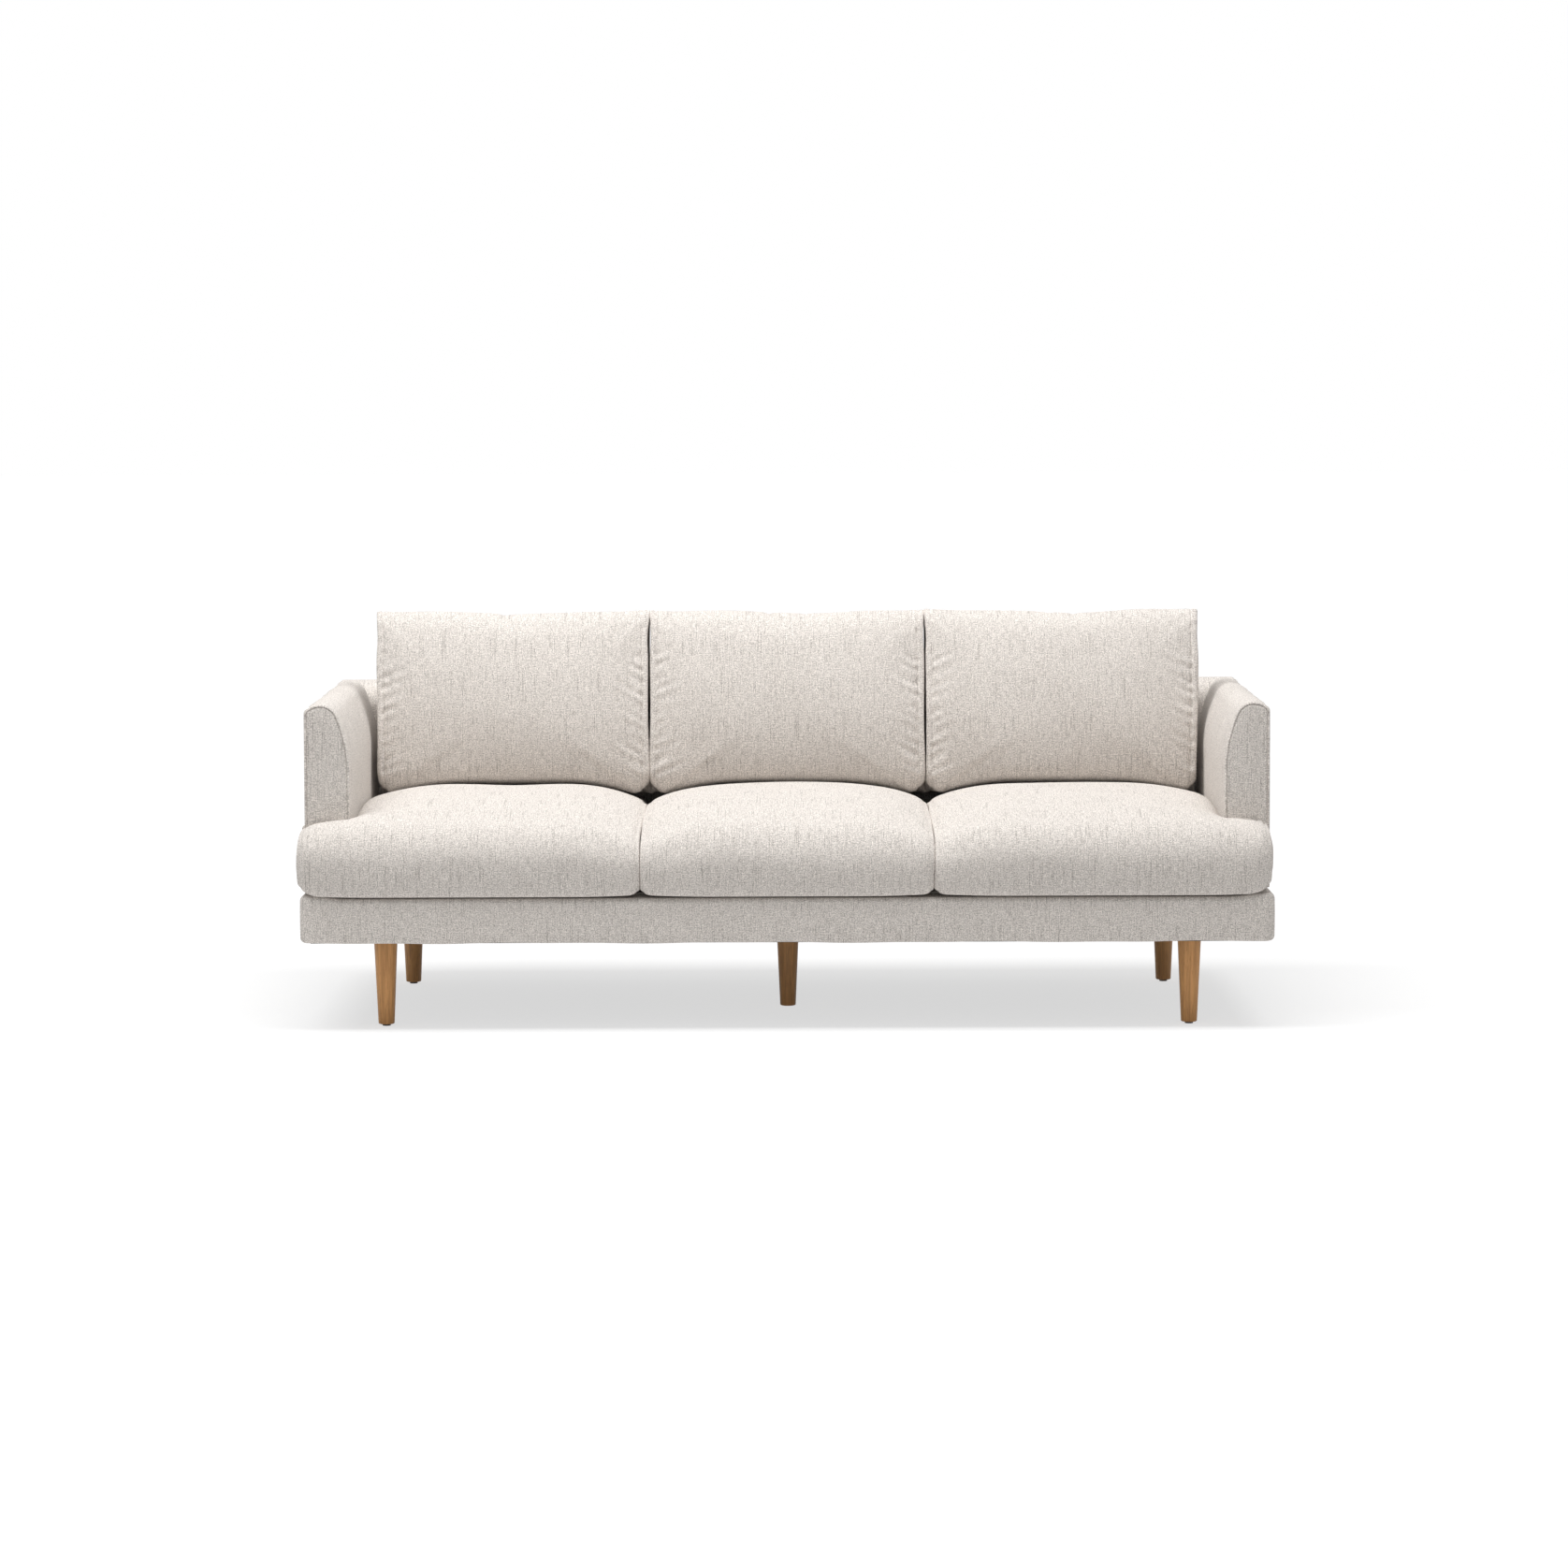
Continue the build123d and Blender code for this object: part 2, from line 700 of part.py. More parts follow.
def back_section(x, drop, roll):
    """Upright section of a back cushion: a wedge with a bowed front, a round top and a rolled lower nose."""
    rear = back_front - rest_gap - back_bottom_share * roll
    front = back_front - back_cushion_depth + drop + roll
    raise_by = back_bottom_share * roll
    top = back_cushion_top - back_top_rise - back_top_share * roll
    foot = (rear, back_underside(rear) + raise_by)
    shoulder = (rear, back_cushion_shoulder)
    top_rear = (back_top_rear_y - back_rear_share * roll, top)
    top_front = (back_top_front_y + drop + roll, top)
    lip_y = front + back_cushion_lip
    lip = (lip_y, back_underside(lip_y) + raise_by)
    nose = (front, back_underside(lip_y) + raise_by + back_cushion_nose)
    top_rise = back_top_rise * (top_rear[0] - top_front[0]) / (back_top_rear_y - back_top_front_y)
    with BuildSketch(Plane.YZ.offset(x)) as section:
        with BuildLine():
            Line(foot, shoulder)
            SagittaArc(shoulder, top_rear, -back_rear_bow)
            SagittaArc(top_rear, top_front, -top_rise)
            SagittaArc(top_front, nose, -back_front_bow)
            SagittaArc(nose, lip, -back_nose_bow)
            Line(lip, foot)
        make_face()
    return section.sketch


def back_cushion(low, high):
    """A back cushion's fibre insert and its cover."""
    middle = (low + high) / 2
    half = (high - low) / 2
    wrap_ends = back_wrap + back_edge_round / 2
    insert_front = back_front - back_cushion_depth + back_side_drop + back_cushion_lip
    insert_rear = back_front - rest_gap - back_wrap
    insert_top = back_cushion_top - back_top_rise - back_wrap
    with BuildPart() as insert:
        with BuildSketch(Plane.YZ.offset(low + wrap_ends)):
            with BuildLine():
                Polyline(
                    (insert_rear, back_underside(insert_rear) + back_wrap),
                    (insert_rear, back_cushion_shoulder - back_wrap),
                    (back_top_rear_y - back_wrap / 2, insert_top),
                    (back_top_front_y + back_side_drop + back_wrap / 2, insert_top),
                    (insert_front, back_underside(insert_front) + back_cushion_nose),
                    (insert_front, back_underside(insert_front) + back_wrap),
                    close=True,
                )
            make_face()
        extrude(amount=high - low - 2 * wrap_ends)
    with BuildPart() as cover:
        sections = []
        for x in stations(low, high, back_edge_round):
            spread = abs(x - middle) / half
            roll = edge_roll(min(x - low, high - x), back_edge_round)
            sections.append(back_section(x, back_side_drop * spread**2, roll))
        loft(sections, ruled=True)
        lens_foot = back_underside(back_front) + draw_in_margin
        lens_top = back_cushion_top - draw_in_margin
        lens_plane = Plane.XZ.offset(-back_front)
        for side, start, end in ((low, lens_top, lens_foot), (high, lens_foot, lens_top)):
            lens = side_lens(lens_plane, (side, start), (side, end), side_draw_in)
            extrude(lens, amount=back_cushion_depth, mode=Mode.SUBTRACT)
        hollow = offset(insert.part, amount=layer_gap, kind=Kind.INTERSECTION, mode=Mode.PRIVATE)
        add(hollow, mode=Mode.SUBTRACT)
    return cover.part, insert.part


middle_back, middle_insert = back_cushion(-back_width / 2, back_width / 2)
write(middle_back, "back_cushion_cover_middle")
write(middle_insert, "back_cushion_insert_middle")
outer_back_low = back_width / 2 + cushion_gap
outer_back, outer_insert = back_cushion(outer_back_low, outer_back_low + back_width)
write_pair(outer_back, "back_cushion_cover")
write_pair(outer_insert, "back_cushion_insert")
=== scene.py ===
import json
import math

import bpy
import numpy as np
from mathutils import Matrix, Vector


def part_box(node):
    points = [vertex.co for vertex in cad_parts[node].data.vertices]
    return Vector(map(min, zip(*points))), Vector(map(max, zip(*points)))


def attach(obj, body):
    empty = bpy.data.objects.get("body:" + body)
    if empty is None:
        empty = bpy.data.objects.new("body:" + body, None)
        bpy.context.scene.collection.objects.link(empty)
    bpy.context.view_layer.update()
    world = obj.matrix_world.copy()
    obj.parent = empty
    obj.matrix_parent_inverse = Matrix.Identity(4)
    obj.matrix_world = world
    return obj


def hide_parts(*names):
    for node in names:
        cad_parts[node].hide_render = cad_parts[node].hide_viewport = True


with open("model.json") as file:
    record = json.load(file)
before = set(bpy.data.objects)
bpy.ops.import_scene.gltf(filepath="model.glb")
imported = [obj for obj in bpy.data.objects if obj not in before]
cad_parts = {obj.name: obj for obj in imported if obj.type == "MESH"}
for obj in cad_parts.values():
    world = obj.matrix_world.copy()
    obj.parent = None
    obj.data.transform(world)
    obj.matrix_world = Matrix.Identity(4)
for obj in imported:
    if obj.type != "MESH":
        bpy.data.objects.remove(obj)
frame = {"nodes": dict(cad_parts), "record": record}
scene = bpy.context.scene
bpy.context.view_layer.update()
slotOf = {row["node"]: row["material_slot"] for row in frame["record"]["subparts"]}
dice = np.random.default_rng(11)
print("sofa: frame loaded with", len(frame["nodes"]), "nodes")


# Small tools for curves and grids

def ease(low, high, value):  # 0 below low, 1 above high, a smooth cubic between
    t = np.clip((value - low) / (high - low), 0, 1)
    return t * t * (3 - 2 * t)


def fade(reach, power, distance):  # 1 at distance 0, falling as a power to 0 at the reach
    return np.clip(1 - distance / reach, 0, 1) ** power


def hill(width, distance):  # Gaussian bump, 1 at distance 0
    return np.exp(-((distance / width) ** 2))


def quarterFall(radius, distance):  # fall of a quarter circle, seen from its high end
    reach = np.clip(radius - distance, 0, radius)
    return radius - np.sqrt(radius**2 - reach**2)


def arcPoints(centre, radius, start, end, count):  # circle points between two angles in degrees
    angle = np.radians(np.linspace(start, end, count))
    return np.stack([centre[0] + radius * np.cos(angle), centre[1] + radius * np.sin(angle)], axis=-1)


def bowedLine(start, end, bow, count):  # chord from start to end, pushed to its left by a parabola of height bow
    start, end = np.array(start), np.array(end)
    t = np.linspace(0, 1, count)[:, None]
    left = np.array([start[1] - end[1], end[0] - start[0]]) / np.hypot(*(end - start))
    return start + (end - start) * t + left * (4 * bow * t * (1 - t))


def runLength(points):  # length of a line of points up to each of them
    return np.concatenate([[0], np.cumsum(np.linalg.norm(np.diff(points, axis=0), axis=-1))])


def evenSteps(points, count, isLoop):  # an outline taken at even steps of its own length, with those lengths
    line = np.vstack([points, points[:1]]) if isLoop else points
    run = np.concatenate([[0], np.cumsum(np.hypot(*np.diff(line, axis=0).T))])
    at = np.linspace(0, run[-1], count, endpoint=not isLoop)
    return np.stack([np.interp(at, run, line[:, axis]) for axis in range(2)], axis=-1), at


def soften(loops, steps):  # closed columns blurred by a Gaussian of that many steps, through their spectrum
    count = loops.shape[-2]
    gain = np.exp(-2 * (np.pi * steps * np.fft.rfftfreq(count)) ** 2)
    return np.fft.irfft(np.fft.rfft(loops, axis=-2) * gain[:, None], count, axis=-2)


def softLoop(spans, count, form):  # spans joined to a loop of even steps, with its corners blurred
    loop, _ = evenSteps(np.vstack([span[:-1] for span in spans]), count, True)
    return soften(loop, form["soften"] * count / form["outlineRun"])


def cubicWeights(place, count, wrap):  # Catmull-Rom weights on coarse points, one row for each fine place
    cell = np.floor(place).astype(int)
    f = place - cell
    weight = np.stack(
        [-f / 2 + f**2 - f**3 / 2, 1 - 2.5 * f**2 + 1.5 * f**3, f / 2 + 2 * f**2 - 1.5 * f**3, (f**3 - f**2) / 2],
        axis=-1,
    )
    index = cell[:, None] + np.arange(-1, 3)
    index = index % count if wrap else np.clip(index, 0, count - 1)
    table = np.zeros((len(place), count))
    np.add.at(table, (np.arange(len(place))[:, None], index), weight)
    return table


def gridNormals(points):  # cross product of the grid's two directions, columns going round, turned outwards
    along = np.gradient(points, axis=0)
    around = np.roll(points, -1, axis=1) - np.roll(points, 1, axis=1)
    normal = np.cross(around, along)
    normal /= np.linalg.norm(normal, axis=-1, keepdims=True) + 1e-12
    outward = np.sum(normal * (points - points.mean(axis=(0, 1))))
    return normal if outward > 0 else -normal


def addObject(name, data):
    made = bpy.data.objects.new(name, data)
    scene.collection.objects.link(made)
    return made


def makePiece(name, points, faceUv, material, around=True, poles=True):
    # Grid of points to quads, column by column. Around joins the last column to the first,
    # poles close both ends with a fan. faceUv holds both edges of each row of faces.
    rows, columns = points.shape[:2]
    steps = columns if around else columns - 1
    i, j = np.meshgrid(np.arange(rows - 1), np.arange(steps), indexing="ij")
    k = (j + 1) % columns
    quads = np.stack([i * columns + j, i * columns + k, (i + 1) * columns + k, (i + 1) * columns + j], axis=-1)
    quads = quads.reshape(-1, 4)
    uv = np.stack([faceUv[i, 0, j], faceUv[i, 0, j + 1], faceUv[i, 1, j + 1], faceUv[i, 1, j]], axis=2)
    uv = uv.reshape(-1, 4, 2)
    verts = points.reshape(-1, 3)
    fans = np.zeros((0, 3), int)
    fanUv = np.zeros((0, 3, 2))
    if poles:
        j = np.arange(columns)
        last = (rows - 1) * columns
        base = len(verts)
        verts = np.vstack([verts, points[0].mean(axis=0), points[-1].mean(axis=0)])
        first = np.stack([(j + 1) % columns, j, np.full(columns, base)], axis=-1)
        final = np.stack([last + j, last + (j + 1) % columns, np.full(columns, base + 1)], axis=-1)
        fans = np.vstack([first, final])
        middle = faceUv[[0, -1], [0, 1]].mean(axis=1)
        lowUv = np.stack([faceUv[0, 0, 1:], faceUv[0, 0, :-1], np.tile(middle[0], (columns, 1))], axis=1)
        highUv = np.stack([faceUv[-1, 1, :-1], faceUv[-1, 1, 1:], np.tile(middle[1], (columns, 1))], axis=1)
        fanUv = np.concatenate([lowUv, highUv])
    a, b, c = verts[quads[:, 0]], verts[quads[:, 1]], verts[quads[:, 2]]
    outward = np.sum(np.cross(b - a, c - a) * (a - verts.mean(axis=0)))
    if outward < 0:
        quads, uv, fans, fanUv = quads[:, ::-1], uv[:, ::-1], fans[:, ::-1], fanUv[:, ::-1]
    mesh = bpy.data.meshes.new(name)
    mesh.from_pydata(verts.tolist(), [], quads.tolist() + fans.tolist())
    layer = mesh.uv_layers.new(name="weave")
    layer.data.foreach_set("uv", np.concatenate([uv.ravel(), fanUv.ravel()]).astype(np.float32))
    mesh.polygons.foreach_set("use_smooth", np.ones(len(mesh.polygons), bool))
    mesh.update()
    if material:
        mesh.materials.append(material)
    return addObject(name, mesh)


def rowUv(bodyUv, capUv, isCap):  # both edges of each face row, from the cap's map where the row is a cap
    chosen = [np.where(isCap[:, None, None], capUv[part], bodyUv[part]) for part in (slice(0, -1), slice(1, None))]
    return np.stack(chosen, axis=1)


# Fabric: cloth coordinates in metres come from each piece's own UV map

linen = {
    "light": (0.985, 0.926, 0.868),
    "dark": (0.32, 0.291, 0.267),
    "yarns": {  # cell, then detail, roughness and distortion of the noise, its useful range, share in the flecks
        "stroke": ((0.0022, 0.018, 1), (2.0, 0.6), (0.32, 0.70), 0.26),
        "dash": ((0.014, 0.0022, 1), (2.0, 0.6), (0.32, 0.70), 0.24),
        "speck": ((0.0025, 0.0027, 1), (1.0,), (0.30, 0.70), 0.56),
        "slub": ((0.0020, 0.095, 1), (2.0, 0.5, 0.2), (0.56, 0.72), 0.33),
    },
    "patchCell": (0.05, 0.09, 1),
    "fleckShare": 0.95,  # how much of the dark yarn the flecks let through
    "shadeRange": (0.985, 1.012),  # patches a little darker and lighter than the light yarn
    "threadPitch": 0.0022,
    "slubHeight": 0.9,
    "bump": 0.0006,
    "bumpStrength": 0.55,
    "roughness": 0.92,
    "specular": 0.18,
    "sheen": 0.12,
    "sheenRoughness": 0.55,
}


def addNode(tree, kind, inputs=None, **settings):
    node = tree.nodes.new(kind)
    for key, value in settings.items():
        setattr(node, key, value)
    for key, value in (inputs or {}).items():
        node.inputs[key].default_value = value
    return node


def stretchedNoise(tree, vector, cell, detail=2.0, roughness=0.5, distortion=0.0):  # noise with cells of that size
    scaled = addNode(tree, "ShaderNodeMapping", {"Scale": [1 / size for size in cell]})
    noise = addNode(
        tree,
        "ShaderNodeTexNoise",
        {"Scale": 1.0, "Detail": detail, "Roughness": roughness, "Distortion": distortion},
    )
    tree.links.new(vector, scaled.inputs["Vector"])
    tree.links.new(scaled.outputs["Vector"], noise.inputs["Vector"])
    return noise.outputs["Fac"]


def remap(tree, value, low, high, toLow=0.0, toHigh=1.0):
    node = addNode(
        tree,
        "ShaderNodeMapRange",
        {"From Min": low, "From Max": high, "To Min": toLow, "To Max": toHigh},
        interpolation_type="SMOOTHSTEP",
    )
    tree.links.new(value, node.inputs["Value"])
    return node.outputs["Result"]


def feed(tree, socket, value):  # a number or a colour is set, another node's output is linked
    if isinstance(value, bpy.types.NodeSocket):
        tree.links.new(value, socket)
    else:
        socket.default_value = value if isinstance(value, (int, float)) else (*value, 1)


def combine(tree, operation, first, second):
    node = addNode(tree, "ShaderNodeMath", operation=operation)
    for socket, value in zip(node.inputs, (first, second)):
        feed(tree, socket, value)
    return node.outputs["Value"]


def mixColours(tree, mask, first, second, blend="MIX"):
    mix = addNode(tree, "ShaderNodeMix", data_type="RGBA", blend_type=blend)
    for name, value in (("Factor", mask), ("A", first), ("B", second)):
        feed(tree, mix.inputs[name], value)
    return mix.outputs["Result"]


def startMaterial(name, roughness, metallic=0.0, specular=0.5):
    material = bpy.data.materials.new(name)
    material.use_nodes = True
    tree = material.node_tree
    skin = tree.nodes["Principled BSDF"]
    skin.inputs["Roughness"].default_value = roughness
    skin.inputs["Metallic"].default_value = metallic
    skin.inputs["Specular IOR Level"].default_value = specular
    return material, tree, skin


def addRelief(tree, skin, height, distance, strength=0.5):
    relief = addNode(tree, "ShaderNodeBump", {"Strength": strength, "Distance": distance})
    tree.links.new(height, relief.inputs["Height"])
    tree.links.new(relief.outputs["Normal"], skin.inputs["Normal"])


def makeWeaveGroup():
    # Long slubs and short strokes along v, dashes along u, specks, soft patches of shade and thread crossings
    group = bpy.data.node_groups.new("heatherWeave", "ShaderNodeTree")
    group.interface.new_socket("Cloth", in_out="INPUT", socket_type="NodeSocketVector")
    for name in ("Fleck", "Shade", "Height"):
        group.interface.new_socket(name, in_out="OUTPUT", socket_type="NodeSocketFloat")
    given = group.nodes.new("NodeGroupInput").outputs["Cloth"]
    out = group.nodes.new("NodeGroupOutput")
    yarn, fleck = {}, 0.0
    for kind, (cell, noise, span, share) in linen["yarns"].items():
        yarn[kind] = remap(group, stretchedNoise(group, given, cell, *noise), *span)
        fleck = combine(group, "ADD", fleck, combine(group, "MULTIPLY", yarn[kind], share))
    group.links.new(fleck, out.inputs["Fleck"])
    group.links.new(stretchedNoise(group, given, linen["patchCell"], 3.0), out.inputs["Shade"])
    threads = []
    for direction in ("X", "Y"):
        wave = addNode(
            group,
            "ShaderNodeTexWave",
            {"Scale": 0.314 / linen["threadPitch"], "Distortion": 2.0, "Detail": 1.0, "Detail Scale": 0.6},
            wave_type="BANDS",
            bands_direction=direction,
        )
        group.links.new(given, wave.inputs["Vector"])
        threads.append(wave.outputs["Fac"])
    crossing = combine(group, "MULTIPLY", threads[0], threads[1])
    raised = combine(group, "ADD", crossing, combine(group, "MULTIPLY", yarn["slub"], linen["slubHeight"]))
    group.links.new(raised, out.inputs["Height"])
    return group


def makeLinen(name):
    material, tree, skin = startMaterial(name, linen["roughness"], specular=linen["specular"])
    weave = addNode(tree, "ShaderNodeGroup", node_tree=makeWeaveGroup())
    tree.links.new(addNode(tree, "ShaderNodeUVMap", uv_map="weave").outputs["UV"], weave.inputs["Cloth"])
    shades = [[min(channel * gain, 1) for channel in linen["light"]] for gain in linen["shadeRange"]]
    shade = mixColours(tree, remap(tree, weave.outputs["Shade"], 0.35, 0.65), *shades)
    flecks = combine(tree, "MULTIPLY", weave.outputs["Fleck"], linen["fleckShare"])
    tree.links.new(mixColours(tree, flecks, shade, linen["dark"]), skin.inputs["Base Color"])
    addRelief(tree, skin, weave.outputs["Height"], linen["bump"], linen["bumpStrength"])
    skin.inputs["Sheen Weight"].default_value = linen["sheen"]
    skin.inputs["Sheen Roughness"].default_value = linen["sheenRoughness"]
    return material


oatmealLinen = makeLinen("oatmealLinen")
print("sofa: linen ready")


# Stuffing: Cloth with inner pressure, run on a coarse grid, gives how far each grid point swells

stuffing = {  # settings of the cloth
    "quality": 6,
    "mass": 0.25,
    "tension_stiffness": 18,
    "compression_stiffness": 12,
    "shear_stiffness": 6,
    "bending_stiffness": 0.6,
    "use_pressure": True,
    "uniform_pressure_force": 4.0,
    "shrink_min": -0.006,  # the cloth is cut a little larger than its shape
    "vertex_group_mass": "held",
}
stuffingFrames = 20


def swell(rings, held, cap):  # how far each ring point moves, scaled so that none moves further than the cap
    trial = makePiece("stuffingTrial", rings, np.zeros((len(rings) - 1, 2, rings.shape[1] + 1, 2)), None)
    group = trial.vertex_groups.new(name="held")
    group.add(np.flatnonzero(held.ravel()).tolist(), 1.0, "REPLACE")
    group.add([held.size, held.size + 1], 1.0, "REPLACE")
    cloth = trial.modifiers.new("stuffing", "CLOTH")
    for setting, value in stuffing.items():
        setattr(cloth.settings, setting, value)
    cloth.settings.effector_weights.gravity = 0
    cloth.collision_settings.use_collision = False
    for step in range(1, stuffingFrames + 1):
        scene.frame_set(step)
    result = trial.evaluated_get(bpy.context.evaluated_depsgraph_get())
    moved = np.zeros(len(trial.data.vertices) * 3, np.float32)
    result.data.vertices.foreach_get("co", moved)
    scene.frame_set(1)
    mesh = trial.data
    bpy.data.objects.remove(trial)
    bpy.data.meshes.remove(mesh)
    shift = moved.reshape(-1, 3)[: held.size].reshape(rings.shape) - rings
    length = np.linalg.norm(shift, axis=-1)
    print("sofa: stuffing moved up to", round(float(length.max()) * 1000, 1), "mm")
    return shift * min(1, cap / length.max())


def swollen(shape, fineRows, coarseRows, fineCount, coarseCount, heldAt, cap):
    # Fine grid of the shape plus the coarse grid's swelling, spread over it by cubic weights
    rings = shape(fineRows, fineCount)
    coarse = shape(coarseRows, coarseCount)
    shift = swell(coarse, heldAt(coarseRows, coarse), cap)
    rowTable = cubicWeights(np.interp(fineRows, coarseRows, np.arange(len(coarseRows))), len(coarseRows), False)
    columnTable = cubicWeights(np.arange(fineCount) * coarseCount / fineCount, coarseCount, True)
    spread = np.einsum("ab,bcd->acd", rowTable, shift)
    return rings + np.einsum("ab,cbd->cad", columnTable, spread)


# Row places of a cushion: 0 to 1 across its low side, 1 to 2 over its width, 2 to 3 across its high side.
# They crowd together at the two seams.

edgeSteps = np.array(
    [0, 0.0011, 0.0022, 0.0034, 0.005, 0.0075, 0.0105, 0.0118, 0.013, 0.0142, 0.0155, 0.018, 0.022, 0.027, 0.033]
)


def seamRows(width, sideReach, step):
    side = 1 - np.append(edgeSteps[1:6], np.linspace(0.012, sideReach * 0.94, 9)) / sideReach
    body = np.linspace(edgeSteps[-1] + step, width - edgeSteps[-1] - step, int(width / step))
    over = 1 + np.concatenate([edgeSteps, body, width - edgeSteps[::-1]]) / width
    return np.concatenate([side[::-1], over, 3 - side])


def stuffingRows(across):  # rows for the stuffing: few on the sides, evenly spaced over the width
    return np.concatenate([np.linspace(0.2, 0.9, 5), np.linspace(1, 2, across), np.linspace(2.1, 2.8, 5)])


def seamDistance(rows, width, sideReach):  # distance of each row from its nearer seam, below 0 on the sides
    fromLow = (rows - 1) * np.where(rows < 1, sideReach, width)
    fromHigh = (2 - rows) * np.where(rows > 2, sideReach, width)
    return np.where(rows < 1.5, fromLow, fromHigh)


def carried(outline, rows, low, high):  # an outline in y and z, repeated at each row's place between low and high
    y = np.tile(outline[:, 0], (len(rows), 1))
    z = np.tile(outline[:, 1], (len(rows), 1))
    return low + np.clip(rows - 1, 0, 1)[:, None] * (high - low) + 0 * y, y, z


def sideScale(rows):  # 1 over the width, falling to 0 in the middle of each side
    return np.clip(np.minimum(rows, 3 - rows), 0, 1)[:, None]


def drawTogether(values, scale):  # each row shrunk about its own middle
    middle = values.mean(axis=1, keepdims=True)
    return middle + (values - middle) * scale


def isSeam(rows):  # rows at the seams and beyond keep their place
    return ((rows < 1.015) | (rows > 1.985))[:, None]


def clothMap(rings, rows):
    # Cloth coordinates: x across the width, and round it the length along the middle row. Sides lie flat in y and z.
    wide = np.concatenate([rings, rings[:, :1]], axis=1)
    middleRun = runLength(wide[len(wide) // 2])
    bodyUv = np.stack([wide[..., 0], np.tile(middleRun, (len(rings), 1))], axis=-1)
    isSide = (rows[:-1] < 0.999) | (rows[1:] > 2.001)
    return wide, bodyUv, isSide


def weltRise(form, fromSeam):  # a welt along the seam, with a groove beside it
    groove = form["grooveShare"] * hill(form["grooveWidth"], fromSeam - form["grooveIn"])
    return form["weltHeight"] * (hill(form["weltWidth"], fromSeam) - groove)


def ripples(first, second, sizes, firstRange, secondRange):  # a few long waves over two directions, drawn at random
    count = len(sizes)
    draws = [dice.uniform(*span, count) for span in (firstRange, secondRange, (0, 6.28))]
    return sum(size * np.sin(first * a + second * b + turn) for size, a, b, turn in zip(sizes, *draws))


# Seat cushions

seatForm = {
    "crownRadius": 1.57,
    "apexY": -0.04,
    "frontRadius": 0.080,
    "frontTuck": 0.011,
    "endDrop": 0.034,  # fall of the crown towards a neighbour or an arm
    "endReach": 0.20,
    "endPower": 2.4,
    "endRound": 0.025,
    "overhang": 0.005,
    "hang": 0.0042,  # the front of the underside sinks into the padding of the base
    "earDrop": 0.007,
    "earReach": 0.14,
    "earRound": 0.050,
    "drawIn": 0.005,
    "earBulge": 0.012,
    "foldRun": 0.045,  # width over which the wall along the arm folds in
    "rollTop": 0.65,  # shares of the end's round that the top, underside, front and rear take
    "rollUnder": 0.60,
    "rollFront": 0.55,
    "rollRear": 0.3,
    "hangEnds": 0.16,  # the underside hangs less towards both ends
    "outlineRun": 1.95,  # rough length of the outline, whose corners are blurred over soften
    "soften": 0.0055,
    "weltHeight": 0.0020,
    "weltWidth": 0.0026,
    "grooveShare": 0.7,  # a groove runs beside the welt
    "grooveWidth": 0.0022,
    "grooveIn": 0.0058,
    "ripple": (0.0011, 0.0008, 0.0006),
    "earEnds": {"right": -0.008, "left": 0.004},  # how far each ear ends past its box
    "swellRoom": 0.007,
    "swellCap": 0.010,
    "stuffingGrid": (56, 130),
    "sideReach": 0.09,
    "rowStep": 0.0085,
    "columns": 300,
    "fill": 0.8,
}
armGap = 0.002
seatLow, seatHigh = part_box("seat_cover_middle")
outerLow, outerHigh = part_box("seat_cover_right")
armLow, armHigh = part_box("arm_cover_right")
earRear = armLow.y - armGap
sideX = armLow.x - armGap


def seatOutline(count):  # toe, front round, crown circle, upright rear, flat underside: a closed loop in y and z
    form = seatForm
    front, rear = seatLow.y - form["overhang"], seatHigh.y
    bottom, top = seatLow.z, seatHigh.z - form["swellRoom"]
    crownZ = top - form["crownRadius"]
    reach = form["crownRadius"] - form["frontRadius"]
    noseY = front + form["frontRadius"]
    noseZ = crownZ + math.sqrt(reach**2 - (noseY - form["apexY"]) ** 2)
    height = noseZ - bottom
    toeRadius = (form["frontTuck"] ** 2 + height**2) / (2 * form["frontTuck"])
    toeAngle = 180 + math.degrees(math.atan2(height, toeRadius - form["frontTuck"]))
    turn = math.degrees(math.atan2(noseZ - crownZ, noseY - form["apexY"]))
    rearAngle = math.degrees(math.acos((rear - form["apexY"]) / form["crownRadius"]))
    toe = arcPoints((front + toeRadius, noseZ), toeRadius, toeAngle, 180, 40)
    nose = arcPoints((noseY, noseZ), form["frontRadius"], 180, turn, 40)
    crown = arcPoints((form["apexY"], crownZ), form["crownRadius"], turn, rearAngle, 120)
    behind = bowedLine(crown[-1], (rear, bottom), 0.0, 30)
    under = bowedLine((rear, bottom), toe[0], 0.0, 100)
    return softLoop((toe, nose, crown, behind, under), count, form)


